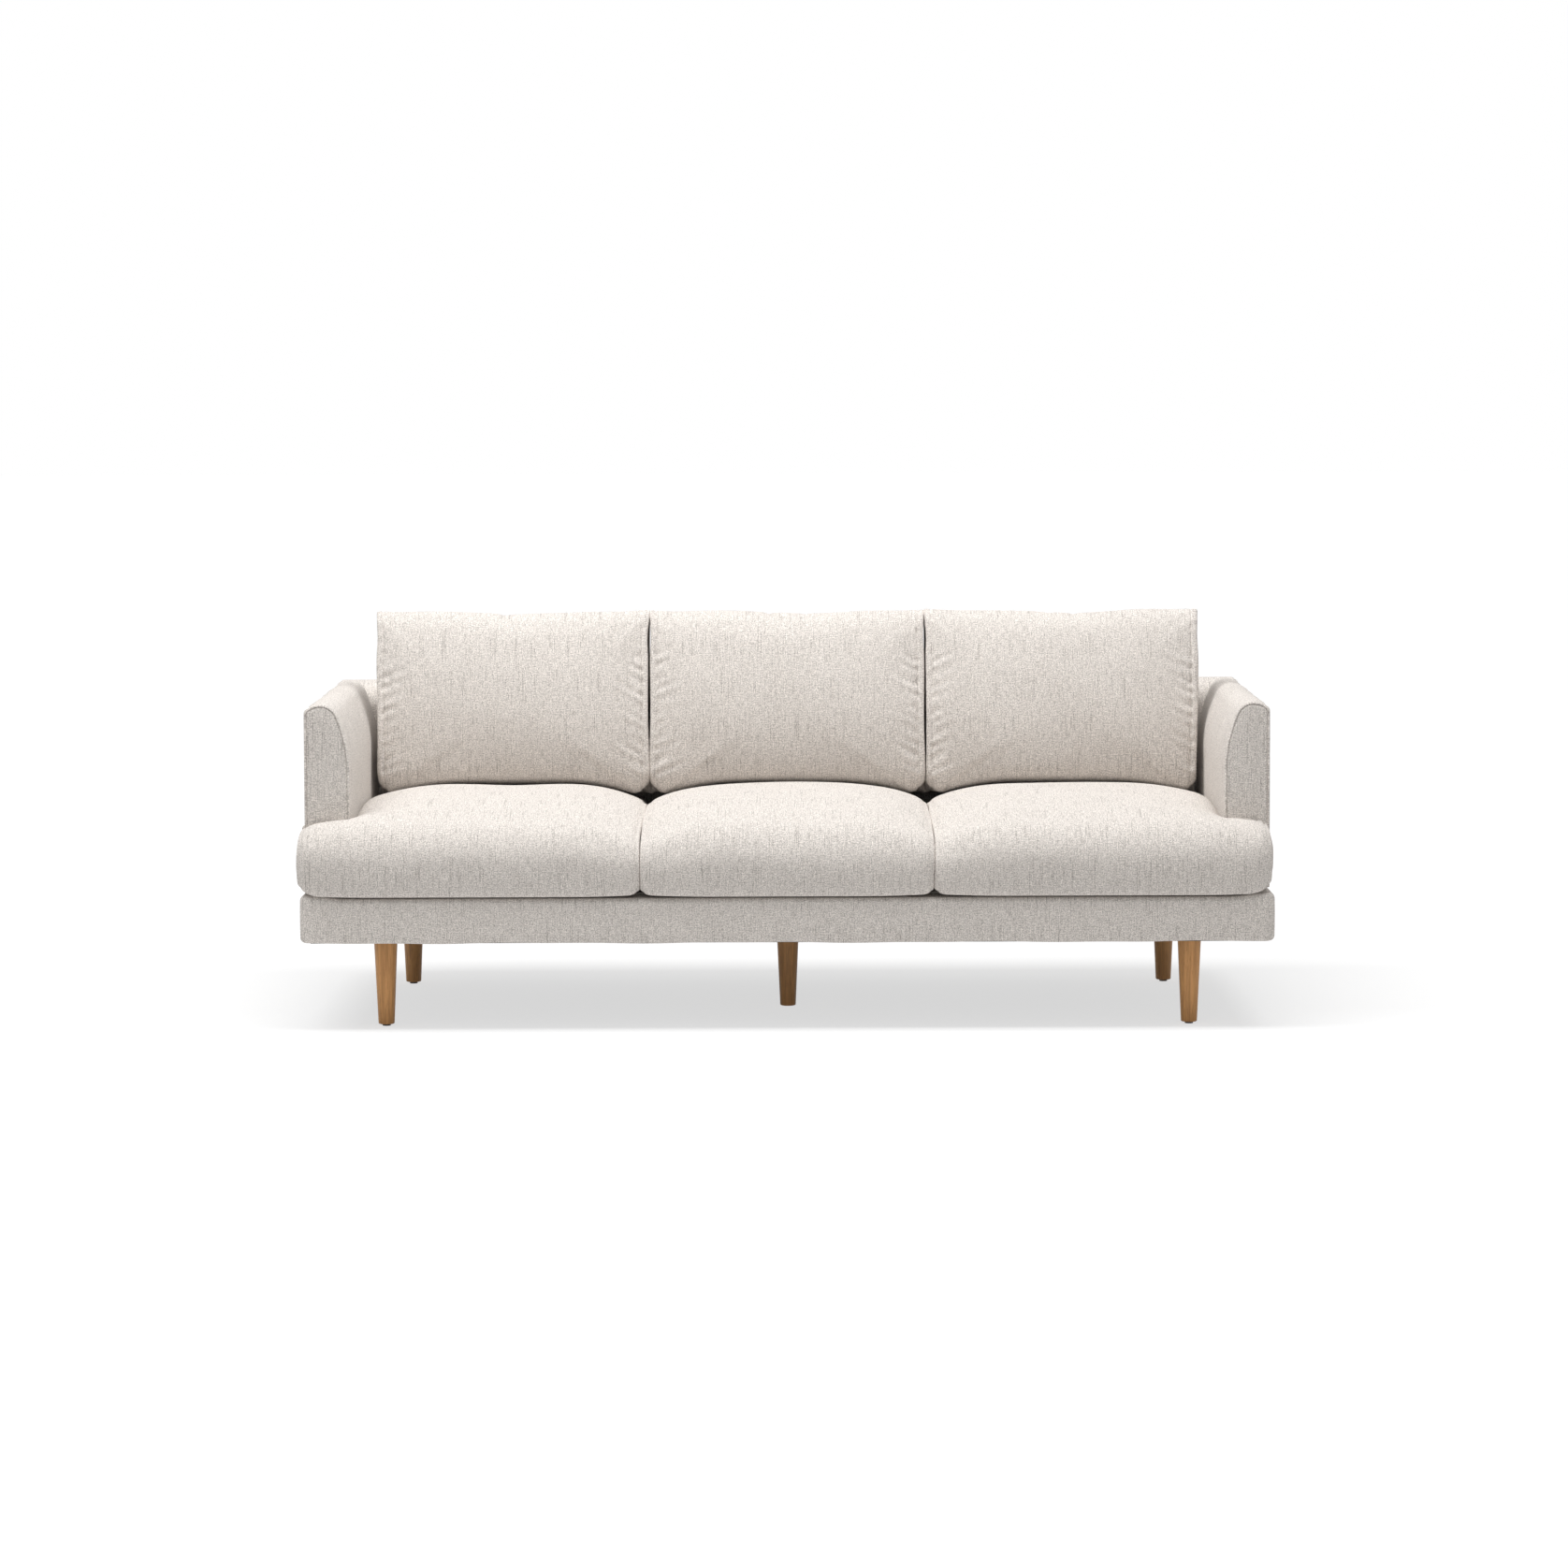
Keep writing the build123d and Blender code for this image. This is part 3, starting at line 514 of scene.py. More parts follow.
def seatShape(low, end, earSide):
    # The outline is carried from low to end. The crown falls towards both ends, the edges roll over,
    # and behind the ear the rear of each loop folds in along the arm to the ear's rear face.
    form = seatForm

    def shape(rows, count):
        outline = seatOutline(count)
        x, y, z = carried(outline, rows, low, end)
        fall = form["endDrop"] * fade(form["endReach"], form["endPower"], x - low)
        roll = quarterFall(form["endRound"], np.maximum(x - low, 0))
        if earSide:
            isBehind = outline[:, 0] > earRear
            behind = np.flatnonzero(isBehind)
            share = np.zeros(count)
            share[behind] = np.linspace(0, 1, len(behind))
            fold = ease(sideX, sideX + form["foldRun"], x) * isBehind
            topAtEar = outline[behind[0], 1]
            y = y + fold * (earRear - y)
            z = z + fold * (topAtEar + share * (seatLow.z - topAtEar) - z)
            x = np.where(isBehind, np.minimum(x, sideX) + fold * np.maximum(x - sideX, 0), x)
            rearShare = ease(earRear - 0.07, earRear + 0.09, y)
            armFall = form["endDrop"] * fade(form["endReach"], form["endPower"], np.maximum(sideX - x, 0))
            armRoll = quarterFall(form["endRound"], np.maximum(sideX - x, 0))
            earFall = form["earDrop"] * fade(form["earReach"], 1.0, end - x)
            earRoll = quarterFall(form["earRound"], np.maximum(end - x, 0))
            fall = fall + rearShare * armFall + (1 - rearShare) * earFall
            roll = roll + rearShare * armRoll * (1 - fold) + (1 - rearShare) * earRoll
        else:
            fall = fall + form["endDrop"] * fade(form["endReach"], form["endPower"], end - x)
            roll = roll + quarterFall(form["endRound"], np.maximum(end - x, 0))
        up = (z - seatLow.z) / (seatHigh.z - seatLow.z)
        z = z - fall * up - form["rollTop"] * roll * ease(0.45, 1.0, up) + form["rollUnder"] * roll * ease(0.5, 0.0, up)
        free = (1 - fade(form["hangEnds"], 2.0, x - low)) * (1 - fade(form["hangEnds"], 2.0, end - x))
        z = z - form["hang"] * free * ease(seatLow.y + 0.10, seatLow.y + 0.04, y) * ease(0.40, 0.0, up)
        atFront, atRear = ease(seatLow.y + 0.22, seatLow.y, y), ease(0.15, seatHigh.y, y)
        y = y + form["rollFront"] * roll * atFront - form["rollRear"] * roll * atRear
        k = sideScale(rows)
        y, z = drawTogether(y, k), drawTogether(z, k)
        x = x + form["drawIn"] * (1 - k**2) * (rows < 1)[:, None]
        x = x + (form["earBulge"] if earSide else -form["drawIn"]) * (1 - k**2) * (rows > 2)[:, None]
        return np.stack([x, y, z], axis=-1)

    return shape


def seatHeld(rows, rings):  # the underside, the rear and the two sides keep their place
    resting = (rings[..., 2] < seatLow.z + 0.012) | (rings[..., 1] > seatHigh.y - 0.03)
    return resting | isSeam(rows)


def finishSeat(name, low, end, earSide, nodeEnd, mirrored):
    form = seatForm
    count = form["columns"]
    rows = seamRows(end - low, form["sideReach"], form["rowStep"])
    shape = seatShape(low, end, earSide)
    across, around = form["stuffingGrid"]
    rings = swollen(shape, rows, stuffingRows(across), count, around, seatHeld, form["swellCap"])
    normal = gridNormals(rings)
    welt = weltRise(form, seamDistance(rows, end - low, form["sideReach"]))
    rings = rings + normal * welt[:, None, None]
    ripple = ripples(rings[..., 0], rings[..., 1], form["ripple"], (9, 26), (7, 22))
    rings = rings + normal * (ripple * ease(seatLow.z + 0.03, seatLow.z + 0.1, rings[..., 2]))[..., None]
    if mirrored:
        rings = rings * np.array([-1, 1, 1])
    wide, bodyUv, isSide = clothMap(rings, rows)
    faceUv = rowUv(bodyUv, wide[..., 1:], isSide)
    if earSide:  # the wall along the arm and the ear's rear face take their own flat maps
        rowX = low + np.clip(rows - 1, 0, 1) * (end - low)
        isWall = (rowX[1:] > sideX) & (rowX[:-1] < sideX + form["foldRun"])
        isEarRear = (rowX[:-1] >= sideX + form["foldRun"]) & ~isSide
        isBehind = np.append(seatOutline(count)[:, 0], -1.0) > earRear
        pick = isBehind[None, None, :, None]
        wall = rowUv(bodyUv, wide[..., 1:], isWall)
        earFace = rowUv(bodyUv, wide[..., ::2], isEarRear)
        faceUv = np.where(pick & isWall[:, None, None, None], wall, faceUv)
        faceUv = np.where(pick & isEarRear[:, None, None, None], earFace, faceUv)
    piece = makePiece(name, rings, faceUv, oatmealLinen)
    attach(piece, "seat_" + nodeEnd)
    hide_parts("seat_cover_" + nodeEnd, "seat_core_" + nodeEnd)
    print("sofa:", name, "stuffed,", len(piece.data.polygons), "faces")


finishSeat("seatCushionMiddle", seatLow.x, seatHigh.x, False, "middle", False)
finishSeat("seatCushionRight", outerLow.x, outerHigh.x + seatForm["earEnds"]["right"], True, "right", False)
finishSeat("seatCushionLeft", outerLow.x, outerHigh.x + seatForm["earEnds"]["left"], True, "left", True)


# Back cushions

backForm = {
    "rearShoulder": 0.640,
    "topRearY": 0.272,
    "topFrontY": 0.196,
    "topRise": 0.026,
    "frontBow": 0.024,
    "rearBow": 0.011,
    "lip": 0.042,
    "nose": 0.046,
    "noseBack": 0.011,
    "noseBow": 0.0105,
    "restY": 0.218,
    "restSlope": 0.1667,
    "endFall": 0.016,
    "endReach": 0.26,
    "endRound": 0.010,
    "rollFront": 0.8,  # shares of the end's round that the front, rear and top take
    "rollRear": 0.5,
    "rollTop": 0.6,
    "cornerLift": 0.005,
    "topLift": 0.002,
    "middleLift": 0.0065,  # the stuffing draws the middle of the top down again
    "lowerRound": 0.030,
    "drape": 0.040,  # the lower edge hangs down where the seats fall away
    "drapeReach": 0.20,
    "drawIn": 0.005,
    "stitchIn": 0.013,
    "stitchDepth": 0.0020,
    "stitchWidth": 0.0026,
    "edgeHeight": 0.0016,
    "edgeWidth": 0.0026,
    "pucker": 0.0017,
    "puckerReach": 0.070,
    "puckerWander": 0.020,
    "puckerPitch": (0.019, 0.027, 0.041),
    "puckerShare": (0.30, 0.85, 0.35),  # the middle pitch leads, so the folds stay nearly even
    "puckerClimb": (0.42, 0.60),  # rise of a fold for each metre away from its seam
    "puckerStart": (0.46, 0.53),  # heights between which the folds begin, and between which they end
    "puckerStop": (0.83, 0.74),
    "gap": 0.0012,
    "gapLens": 0.0028,  # the gap between neighbours opens a little near the top
    "gapClose": 0.0026,  # and closes in the middle of their depth
    "lean": 0.006,  # the outer cushions narrow towards the seat
    "tuckIn": 0.004,
    "outlineRun": 1.15,  # rough length of the outline, whose corners are blurred over soften
    "soften": 0.006,
    "ripple": (0.0014, 0.0010, 0.0007),
    "swellCap": 0.014,
    "stuffingGrid": (54, 110),
    "sideReach": 0.08,
    "rowStep": 0.0075,
    "columns": 440,
    "fill": 0.7,
}
backLow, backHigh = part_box("back_cushion_cover_middle")


def backOutline(count):  # upright rear, leaning shoulder, round top, bowed front and a rolled lower lip
    form = backForm
    rear, front = backHigh.y, backLow.y
    restZ = backLow.z + form["restSlope"] * (rear - form["restY"])

    def under(y):
        return restZ - form["restSlope"] * (y - form["restY"])

    top = backHigh.z - form["topRise"]
    foot, shoulder = (rear, under(rear)), (rear, form["rearShoulder"])
    topRear, topFront = (form["topRearY"], top), (form["topFrontY"], top)
    lip = (front + form["lip"], under(front + form["lip"]))
    nose = (front + form["noseBack"], lip[1] + form["nose"])
    spans = [
        bowedLine(lip, nose, form["noseBow"], 30),
        bowedLine(nose, topFront, form["frontBow"], 90),
        bowedLine(topFront, topRear, form["topRise"], 30),
        bowedLine(topRear, shoulder, form["rearBow"], 50),
        bowedLine(shoulder, foot, 0.0, 50),
        bowedLine(foot, lip, 0.0, 50),
    ]
    return softLoop(spans, count, form)


def backShape(low, high, lean):
    # The outline carried across the width. The front falls back towards both ends, the top corners stay
    # up in slight points and the lower corners round off.
    form = backForm

    def shape(rows, count):
        x, y, z = carried(backOutline(count), rows, low, high)
        d = np.minimum(x - low, high - x)
        isFront = ease(0.24, 0.17, y)
        isTop = ease(0.77, 0.85, z)
        isLow = ease(0.56, 0.47, z)
        fall = form["endFall"] * fade(form["endReach"], 2.0, d)
        roll = quarterFall(form["endRound"], np.maximum(d, 0))
        isRear = ease(0.26, 0.33, y)
        y = y + isFront * (fall * ease(0.88, 0.70, z) + form["rollFront"] * roll) - form["rollRear"] * roll * isRear
        z = z + isTop * (form["topLift"] + form["middleLift"] * (1 - fade(0.16, 1.5, d)))
        z = z + isTop * (form["cornerLift"] * fade(0.07, 2.0, d) - form["rollTop"] * roll)
        z = z + isLow * isFront * form["lowerRound"] * fade(0.045, 2.0, d)
        z = z - form["drape"] * fade(form["drapeReach"], 2.0, d) * ease(0.60, 0.47, z) * ease(0.30, 0.16, y)
        across = (x - low) / (high - low) if lean > 0 else (high - x) / (high - low)
        x = x - lean * across**4 * ease(0.84, 0.50, z)
        inwards = fade(0.05, 2.0, x - low) - fade(0.05, 2.0, high - x)
        opening = form["gap"] + form["gapLens"] * hill(0.034, z - 0.815) * ease(0.25, 0.17, y)
        x = x + inwards * (opening - form["gapClose"] * hill(0.024, y - 0.240))
        k = sideScale(rows)
        y, z = drawTogether(y, k), drawTogether(z, k)
        x = x + form["drawIn"] * (1 - k**2) * ((rows < 1).astype(float) - (rows > 2))[:, None]
        return np.stack([x, y, z], axis=-1)

    return shape


def backHeld(rows, rings):  # the seams, the underside and the part that leans on the sofa's back keep their place
    resting = (rings[..., 1] > backHigh.y - 0.012) | ((rings[..., 2] < 0.50) & (rings[..., 1] > 0.16))
    return resting | isSeam(rows)


def finishBack(nodeEnd, name):
    form = backForm
    lowCorner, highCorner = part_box("back_cushion_cover_" + nodeEnd)
    low = lowCorner.x + form["tuckIn"] * (nodeEnd == "left")
    high = highCorner.x - form["tuckIn"] * (nodeEnd == "right")
    lean = form["lean"] * {"left": -1, "middle": 0, "right": 1}[nodeEnd]
    rows = seamRows(high - low, form["sideReach"], form["rowStep"])
    shape = backShape(low, high, lean)
    across, around = form["stuffingGrid"]
    rings = swollen(shape, rows, stuffingRows(across), form["columns"], around, backHeld, form["swellCap"])
    normal = gridNormals(rings)
    fromSeam = seamDistance(rows, high - low, form["sideReach"])[:, None]
    isFront = ease(0.27, 0.2, rings[..., 1])
    stitch = form["stitchDepth"] * hill(form["stitchWidth"], fromSeam - form["stitchIn"])
    edge = form["edgeHeight"] * hill(form["edgeWidth"], fromSeam)
    push = edge - stitch * ease(0.30, 0.24, rings[..., 1])
    # Puckers: folds gathered by the stitching, three waves up the side added together, climbing and dying out inwards
    for side in (-1, 1):
        fromSide = (rings[..., 0] - low) if side < 0 else (high - rings[..., 0])
        inward = np.clip(fromSide - form["stitchIn"], 0, None)
        start, wander = dice.uniform(0, 6.28, 3), dice.uniform(0, 6.28, 2)
        lift = rings[..., 2] - dice.uniform(*form["puckerClimb"]) * inward
        waves = zip(form["puckerShare"], form["puckerPitch"], start)
        fold = sum(share * np.sin(2 * math.pi * lift / pitch + turn) for share, pitch, turn in waves)
        reach = form["puckerReach"] + form["puckerWander"] * np.sin(lift * 43 + wander[0])
        strength = np.clip(1 - inward / reach, 0, 1) ** 1.3 * ease(0.008, 0.018, fromSide)
        band = ease(*form["puckerStart"], rings[..., 2]) * ease(*form["puckerStop"], rings[..., 2])
        band = band * (0.75 + 0.25 * np.sin(lift * 27 + wander[1]))
        push = push + form["pucker"] * fold * strength * band * isFront
    ripple = ripples(rings[..., 0], rings[..., 2], form["ripple"], (8, 24), (8, 26))
    push = push + ripple * ease(0.33, 0.30, rings[..., 1]) * ease(0.47, 0.52, rings[..., 2])
    rings = rings + normal * push[..., None]
    wide, bodyUv, isSide = clothMap(rings, rows)
    piece = makePiece(name, rings, rowUv(bodyUv, wide[..., 1:], isSide), oatmealLinen)
    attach(piece, "back_" + nodeEnd)
    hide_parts("back_cushion_cover_" + nodeEnd, "back_cushion_insert_" + nodeEnd)
    print("sofa:", name, "stuffed,", len(piece.data.polygons), "faces")


for nodeEnd, name in (("left", "backCushionLeft"), ("middle", "backCushionMiddle"), ("right", "backCushionRight")):
    finishBack(nodeEnd, name)


# Arms: one outline in x and z, carried from the sofa's back to the front seam and then filled by the front panel

armForm = {
    "crownIn": 0.034,
    "outerRound": 0.012,
    "outerCrown": 0.045,
    "innerRound": 0.300,
    "innerCrown": 0.040,
    "frontRound": 0.005,
    "seamSink": 0.0018,
    "seamStep": 0.0006,
    "seamWidth": 0.0016,
    "panelRound": 0.007,
    "panelOut": 0.0004,
    "innerBulge": 0.004,
    "outerBulge": 0.001,
    "rearRun": 0.062,  # the wrap goes on into the sofa's back
    "rearIn": 0.0015,
    "outset": 0.0025,
    "panelBulge": 0.0012,
    "wobble": (0.0010, 0.0007),
    "columns": 260,
    "lean": 0.012,  # the front panel leans back towards its top
    "rise": 0.008,  # the crown climbs towards the sofa's back
    "fill": 0.9,
}


def meetingRounds(flank, flankRadius, crownX, crownZ, crownRadius):
    # Two circles, one touching the upright flank and one the level crown, meet in a common tangent
    side = 1 if flank > crownX else -1
    difference = crownRadius - flankRadius
    across = flank - side * flankRadius - crownX
    rise = math.copysign(math.sqrt(difference**2 - across**2), difference)
    flankCentre = (crownX + across, crownZ - crownRadius + rise)
    joint = math.degrees(math.atan2(rise * math.copysign(1, difference), across * math.copysign(1, difference)))
    return flankCentre, joint


def armOutline(count):  # inner flank up, over the crown, down the outer flank, at even steps, with outward normals
    form = armForm
    crownX, crownZ = armHigh.x - form["crownIn"], armHigh.z
    innerCentre, innerJoint = meetingRounds(armLow.x, form["innerRound"], crownX, crownZ, form["innerCrown"])
    outerCentre, outerJoint = meetingRounds(armHigh.x, form["outerRound"], crownX, crownZ, form["outerCrown"])
    path = np.vstack(
        [
            [[armLow.x, armLow.z]],
            arcPoints(innerCentre, form["innerRound"], 180, innerJoint, 40),
            arcPoints((crownX, crownZ - form["innerCrown"]), form["innerCrown"], innerJoint, 90, 40)[1:],
            arcPoints((crownX, crownZ - form["outerCrown"]), form["outerCrown"], 90, outerJoint, 30)[1:],
            arcPoints(outerCentre, form["outerRound"], outerJoint, 0, 20)[1:],
            [[armHigh.x, armLow.z]],
        ]
    )
    path, at = evenSteps(path, count, False)
    slope = np.gradient(path, axis=0)
    outward = np.stack([-slope[:, 1], slope[:, 0]], axis=-1) / np.hypot(*slope.T)[:, None]
    return path, outward, at


def finishArm(name, nodeEnd, mirrored):
    form = armForm
    path, outward, at = armOutline(form["columns"])
    front, rear = armLow.y, armHigh.y
    turn = np.radians(np.linspace(0, 90, 7))
    wrapY = np.concatenate([[rear + form["rearRun"]], np.linspace(rear, front + form["frontRound"], 80)])
    wrapIn = np.where(wrapY > rear + 0.001, form["rearIn"], 0.0)
    edgeY = front + form["frontRound"] * (1 - np.sin(turn))
    edgeIn = form["frontRound"] * (1 - np.cos(turn))
    sinkY = front + form["seamSink"] + form["seamStep"] * np.array([0, 1])
    sinkIn = form["frontRound"] + form["seamStep"] * np.array([1, 2])
    lipY = front + form["seamSink"] * (1 - np.sin(turn)) - form["panelOut"]
    lipIn = form["frontRound"] + form["seamWidth"] + form["panelRound"] * (1 - np.cos(turn))
    rowY = np.concatenate([wrapY, edgeY[1:], sinkY, lipY])
    rowIn = np.concatenate([wrapIn, edgeIn[1:], sinkIn, lipIn])
    xz = path[None] - outward[None] * rowIn[:, None, None]
    height = ease(armLow.z, armLow.z + 0.12, path[:, 1]) * ease(armHigh.z, armHigh.z - 0.1, path[:, 1])
    length = ease(front, front + 0.09, rowY) * ease(rear, rear - 0.05, rowY)
    isInner = outward[:, 0] < 0
    bulge = height * np.where(isInner, form["innerBulge"], form["outerBulge"])
    xz = xz + outward[None] * (length[:, None] * bulge)[..., None]
    xz[..., 0] += form["outset"] * np.clip(outward[:, 0], 0, 1)
    wobble = form["wobble"][0] * np.sin(rowY[:, None] * 21 + at[None] * 9 + 1.0)
    wobble = wobble + form["wobble"][1] * np.sin(rowY[:, None] * 47 - at[None] * 15)
    xz = xz + outward[None] * (wobble * length[:, None])[..., None]
    shell = np.stack([xz[..., 0], np.tile(rowY[:, None], (1, len(path))), xz[..., 1]], axis=-1)
    climb = form["rise"] * np.clip((rowY - front) / (rear - front), 0, 1)[:, None]
    shell[..., 2] += climb * ease(armHigh.z - 0.25, armHigh.z, path[:, 1])[None]
    rim = shell[-1].copy()
    tall = armHigh.z - armLow.z
    leaning = form["lean"] * np.clip((shell[..., 2] - armLow.z) / tall, 0, 1)
    shell[..., 1] += leaning * ease(front + 0.3, front, rowY)[:, None]
    # Front panel: from the seam straight across to the middle line, a little fuller in its middle
    shares = np.linspace(0, 1, 14)[1:, None]
    lower = np.minimum(rim[:, 2], rim[:, 2].max() - 0.03)
    panelX = rim[None, :, 0] + shares * (0.5 * (armLow.x + armHigh.x) - rim[None, :, 0])
    panelZ = rim[None, :, 2] + shares * (lower - rim[:, 2])[None]
    panelY = rim[None, :, 1] - form["panelBulge"] * np.sin(shares * math.pi / 2) + 0 * panelX
    panelY = panelY + form["lean"] * np.clip((panelZ - armLow.z) / tall, 0, 1)
    panel = np.stack([panelX, panelY, panelZ], axis=-1)
    grid = np.concatenate([shell, panel])
    if mirrored:
        grid = grid * np.array([-1, 1, 1])
    wrapUv = np.stack([-grid[..., 1], np.tile(at, (len(grid), 1))], axis=-1)
    panelUv = np.stack([grid[..., 0], grid[..., 2]], axis=-1)
    isPanel = np.arange(len(grid) - 1) >= len(wrapY) + len(edgeY) - 1
    piece = makePiece(name, grid, rowUv(wrapUv, panelUv, isPanel), oatmealLinen, around=False, poles=False)
    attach(piece, "frame")
    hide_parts("arm_cover_" + nodeEnd, "arm_foam_" + nodeEnd)
    print("sofa:", name, "covered")


finishArm("armRight", "right", False)
finishArm("armLeft", "left", True)


# Back of the sofa

shellForm = {
    "rise": 0.006,
    "rearRound": 0.028,
    "frontRound": 0.065,
    "endRound": 0.014,
    "rearBulge": 0.004,
    "weltHeight": 0.0018,
    "weltWidth": 0.0024,
    "grooveShare": 0.8,
    "grooveWidth": 0.002,
    "grooveIn": 0.005,
    "sideReach": 0.055,
    "rowStep": 0.016,
    "columns": 240,
    "fill": 0.9,
}
shellLow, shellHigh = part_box("back_cover")


def shellOutline(count):  # upright front, wide front round, flat top, tight rear round, upright rear, level foot
    form = shellForm
    frontCentre = (shellLow.y + form["frontRound"], shellHigh.z - form["frontRound"])
    rearCentre = (shellHigh.y - form["rearRound"], shellHigh.z - form["rearRound"])
    points = np.vstack(
        [
            bowedLine((shellLow.y, shellLow.z), (shellLow.y, frontCentre[1]), 0.0, 30)[:-1],
            arcPoints(frontCentre, form["frontRound"], 180, 90, 30),
            arcPoints(rearCentre, form["rearRound"], 90, 0, 24),
            bowedLine((shellHigh.y, rearCentre[1]), (shellHigh.y, shellLow.z), 0.0, 30)[1:],
        ]
    )
    return soften(evenSteps(points, count, True)[0], 1.2)


def finishShell():
    form = shellForm
    width = shellHigh.x - shellLow.x
    rows = seamRows(width, form["sideReach"], form["rowStep"])
    x, y, z = carried(shellOutline(form["columns"]), rows, shellLow.x, shellHigh.x)
    d = np.minimum(x - shellLow.x, shellHigh.x - x)
    roll = quarterFall(form["endRound"], np.maximum(d, 0))
    highest = shellHigh.z
    z = z - roll * ease(highest - 0.10, highest, z) + form["rise"] * ease(highest - 0.2, highest, z)
    y = y - roll * ease(shellHigh.y - 0.05, shellHigh.y, y) + roll * ease(shellLow.y + 0.05, shellLow.y, y)
    bulge = form["rearBulge"] * ease(0, 0.25, d) * ease(shellLow.z, shellLow.z + 0.15, z)
    bulge = bulge * ease(highest, highest - 0.12, z)
    isRear = ease(shellHigh.y - 0.02, shellHigh.y, y)
    y = y + bulge * isRear - form["rearBulge"] * 0.5 * isRear
    k = sideScale(rows)
    rings = np.stack([x, drawTogether(y, k), drawTogether(z, k)], axis=-1)
    welt = weltRise(form, seamDistance(rows, width, form["sideReach"]))
    rings = rings + gridNormals(rings) * welt[:, None, None]
    wide, bodyUv, isSide = clothMap(rings, rows)
    piece = makePiece("sofaBack", rings, rowUv(bodyUv, wide[..., 1:], isSide), oatmealLinen)
    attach(piece, "frame")
    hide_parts("back_cover", "back_foam")
    print("sofa: back covered")


finishShell()


# Base: a soft profile carried round a rounded rectangle, and on across its top to the edge of the deck

baseForm = {
    "corner": 0.024,
    "topRound": 0.012,
    "bottomRound": 0.011,
    "bulge": 0.0005,
    "fold": 0.040,
    "sag": 0.0068,  # the seats press the front edge down
    "wave": (0.0009, 0.0006),
    "rowStep": 0.010,
    "deckGap": 0.0006,
    "flangeSink": 0.0002,
    "fill": 0.95,
}
baseNodes = ("base_cover_front", "base_cover_rear", "base_cover_left", "base_cover_right")
baseCorners = np.array([[list(corner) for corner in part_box(node)] for node in baseNodes])
baseLow, baseHigh = baseCorners[:, 0].min(axis=0), baseCorners[:, 1].max(axis=0)
deckLow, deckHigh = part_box("seat_deck")


def pressed(place):  # share of the sag at a place, full under the seats' front edge
    return ease(1.03, 0.95, np.abs(place[..., 0])) * ease(baseLow[1] + 0.10, baseLow[1] + 0.03, place[..., 1])


def finishBase():
    form = baseForm
    corner = form["corner"]
    inner = np.array([baseHigh[0] - corner, baseHigh[1] - corner])
    lower = np.array([baseLow[0] + corner, baseLow[1] + corner])
    spots = [(inner[0], inner[1], 0), (lower[0], inner[1], 90), (lower[0], lower[1], 180), (inner[0], lower[1], 270)]
    core, facing = [], []
    for (cx, cy, start), (nx, ny, _) in zip(spots, spots[1:] + spots[:1]):
        angle = np.radians(np.linspace(start, start + 90, 13))
        core.append(np.tile([cx, cy], (len(angle), 1)))
        facing.append(np.stack([np.cos(angle), np.sin(angle)], axis=-1))
        steps = int(math.hypot(nx - cx, ny - cy) / form["rowStep"])
        t = np.linspace(0, 1, steps + 2)[1:-1, None]
        core.append(np.array([cx, cy]) + t * np.array([nx - cx, ny - cy]))
        facing.append(np.tile([math.cos(angle[-1]), math.sin(angle[-1])], (steps, 1)))
    core, facing = np.vstack(core), np.vstack(facing)
    top, bottom = form["topRound"], form["bottomRound"]
    low, high = baseLow[2], baseHigh[2]
    under = np.stack([np.linspace(form["fold"], bottom, 6)[:-1], np.full(5, low)], axis=-1)
    lowTurn = arcPoints((bottom, low + bottom), bottom, 270, 180, 10)
    face = bowedLine((0, low + bottom), (0, high - top), form["bulge"], 16)[1:-1]
    highTurn = arcPoints((top, high - top), top, 180, 90, 12)
    profile = np.vstack([under, lowTurn, face, highTurn])
    offset = corner - profile[:, 0]
    flat = core[None] + facing[None] * offset[:, None, None]
    z = np.tile(profile[:, 1][:, None], (1, len(core)))
    wave = form["wave"][0] * np.sin(core[:, 0] * 13 + core[:, 1] * 9) + form["wave"][1] * np.sin(core[:, 0] * 29 + 1)
    z = z + wave[None] * ease(low + 0.03, low, z)
    z = z - form["sag"] * pressed(flat) * ease(high - 0.045, high, z)
    shell = np.concatenate([flat, z[..., None]], axis=-1)
    gap = form["deckGap"]
    deck = np.clip(core, [deckLow.x - gap, deckLow.y - gap], [deckHigh.x + gap, deckHigh.y + gap])
    share = np.linspace(0, 1, 9)[1:, None, None]
    flange = shell[-1][None, :, :2] + share * (deck - shell[-1][:, :2])[None]
    flangeZ = high - form["flangeSink"] - form["sag"] * pressed(flange)
    flange = np.concatenate([flange, flangeZ[..., None]], axis=-1)
    grid = np.concatenate([shell, flange])
    wide = np.concatenate([grid, grid[:, :1]], axis=1)
    girth = runLength(wide[len(under) + len(lowTurn) - 1])  # taken at the foot of the upright face
    rise = runLength(profile)
    wrapUv = np.stack([np.tile(girth, (len(shell), 1)), np.tile(rise[:, None], (1, len(girth)))], axis=-1)
    wrapUv = np.concatenate([wrapUv, wide[len(shell):, :, :2]])
    flatUv = wide[..., :2]
    isFlat = np.arange(len(grid) - 1) >= len(shell) - 1
    piece = makePiece("baseCover", grid, rowUv(wrapUv, flatUv, isFlat), oatmealLinen, poles=False)
    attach(piece, "frame")
    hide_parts(*baseNodes)
    print("sofa: base covered")


finishBase()


# Wood, metal, webbing and the other cloths read object coordinates

def objectPlace(tree):
    return addNode(tree, "ShaderNodeTexCoord").outputs["Object"]


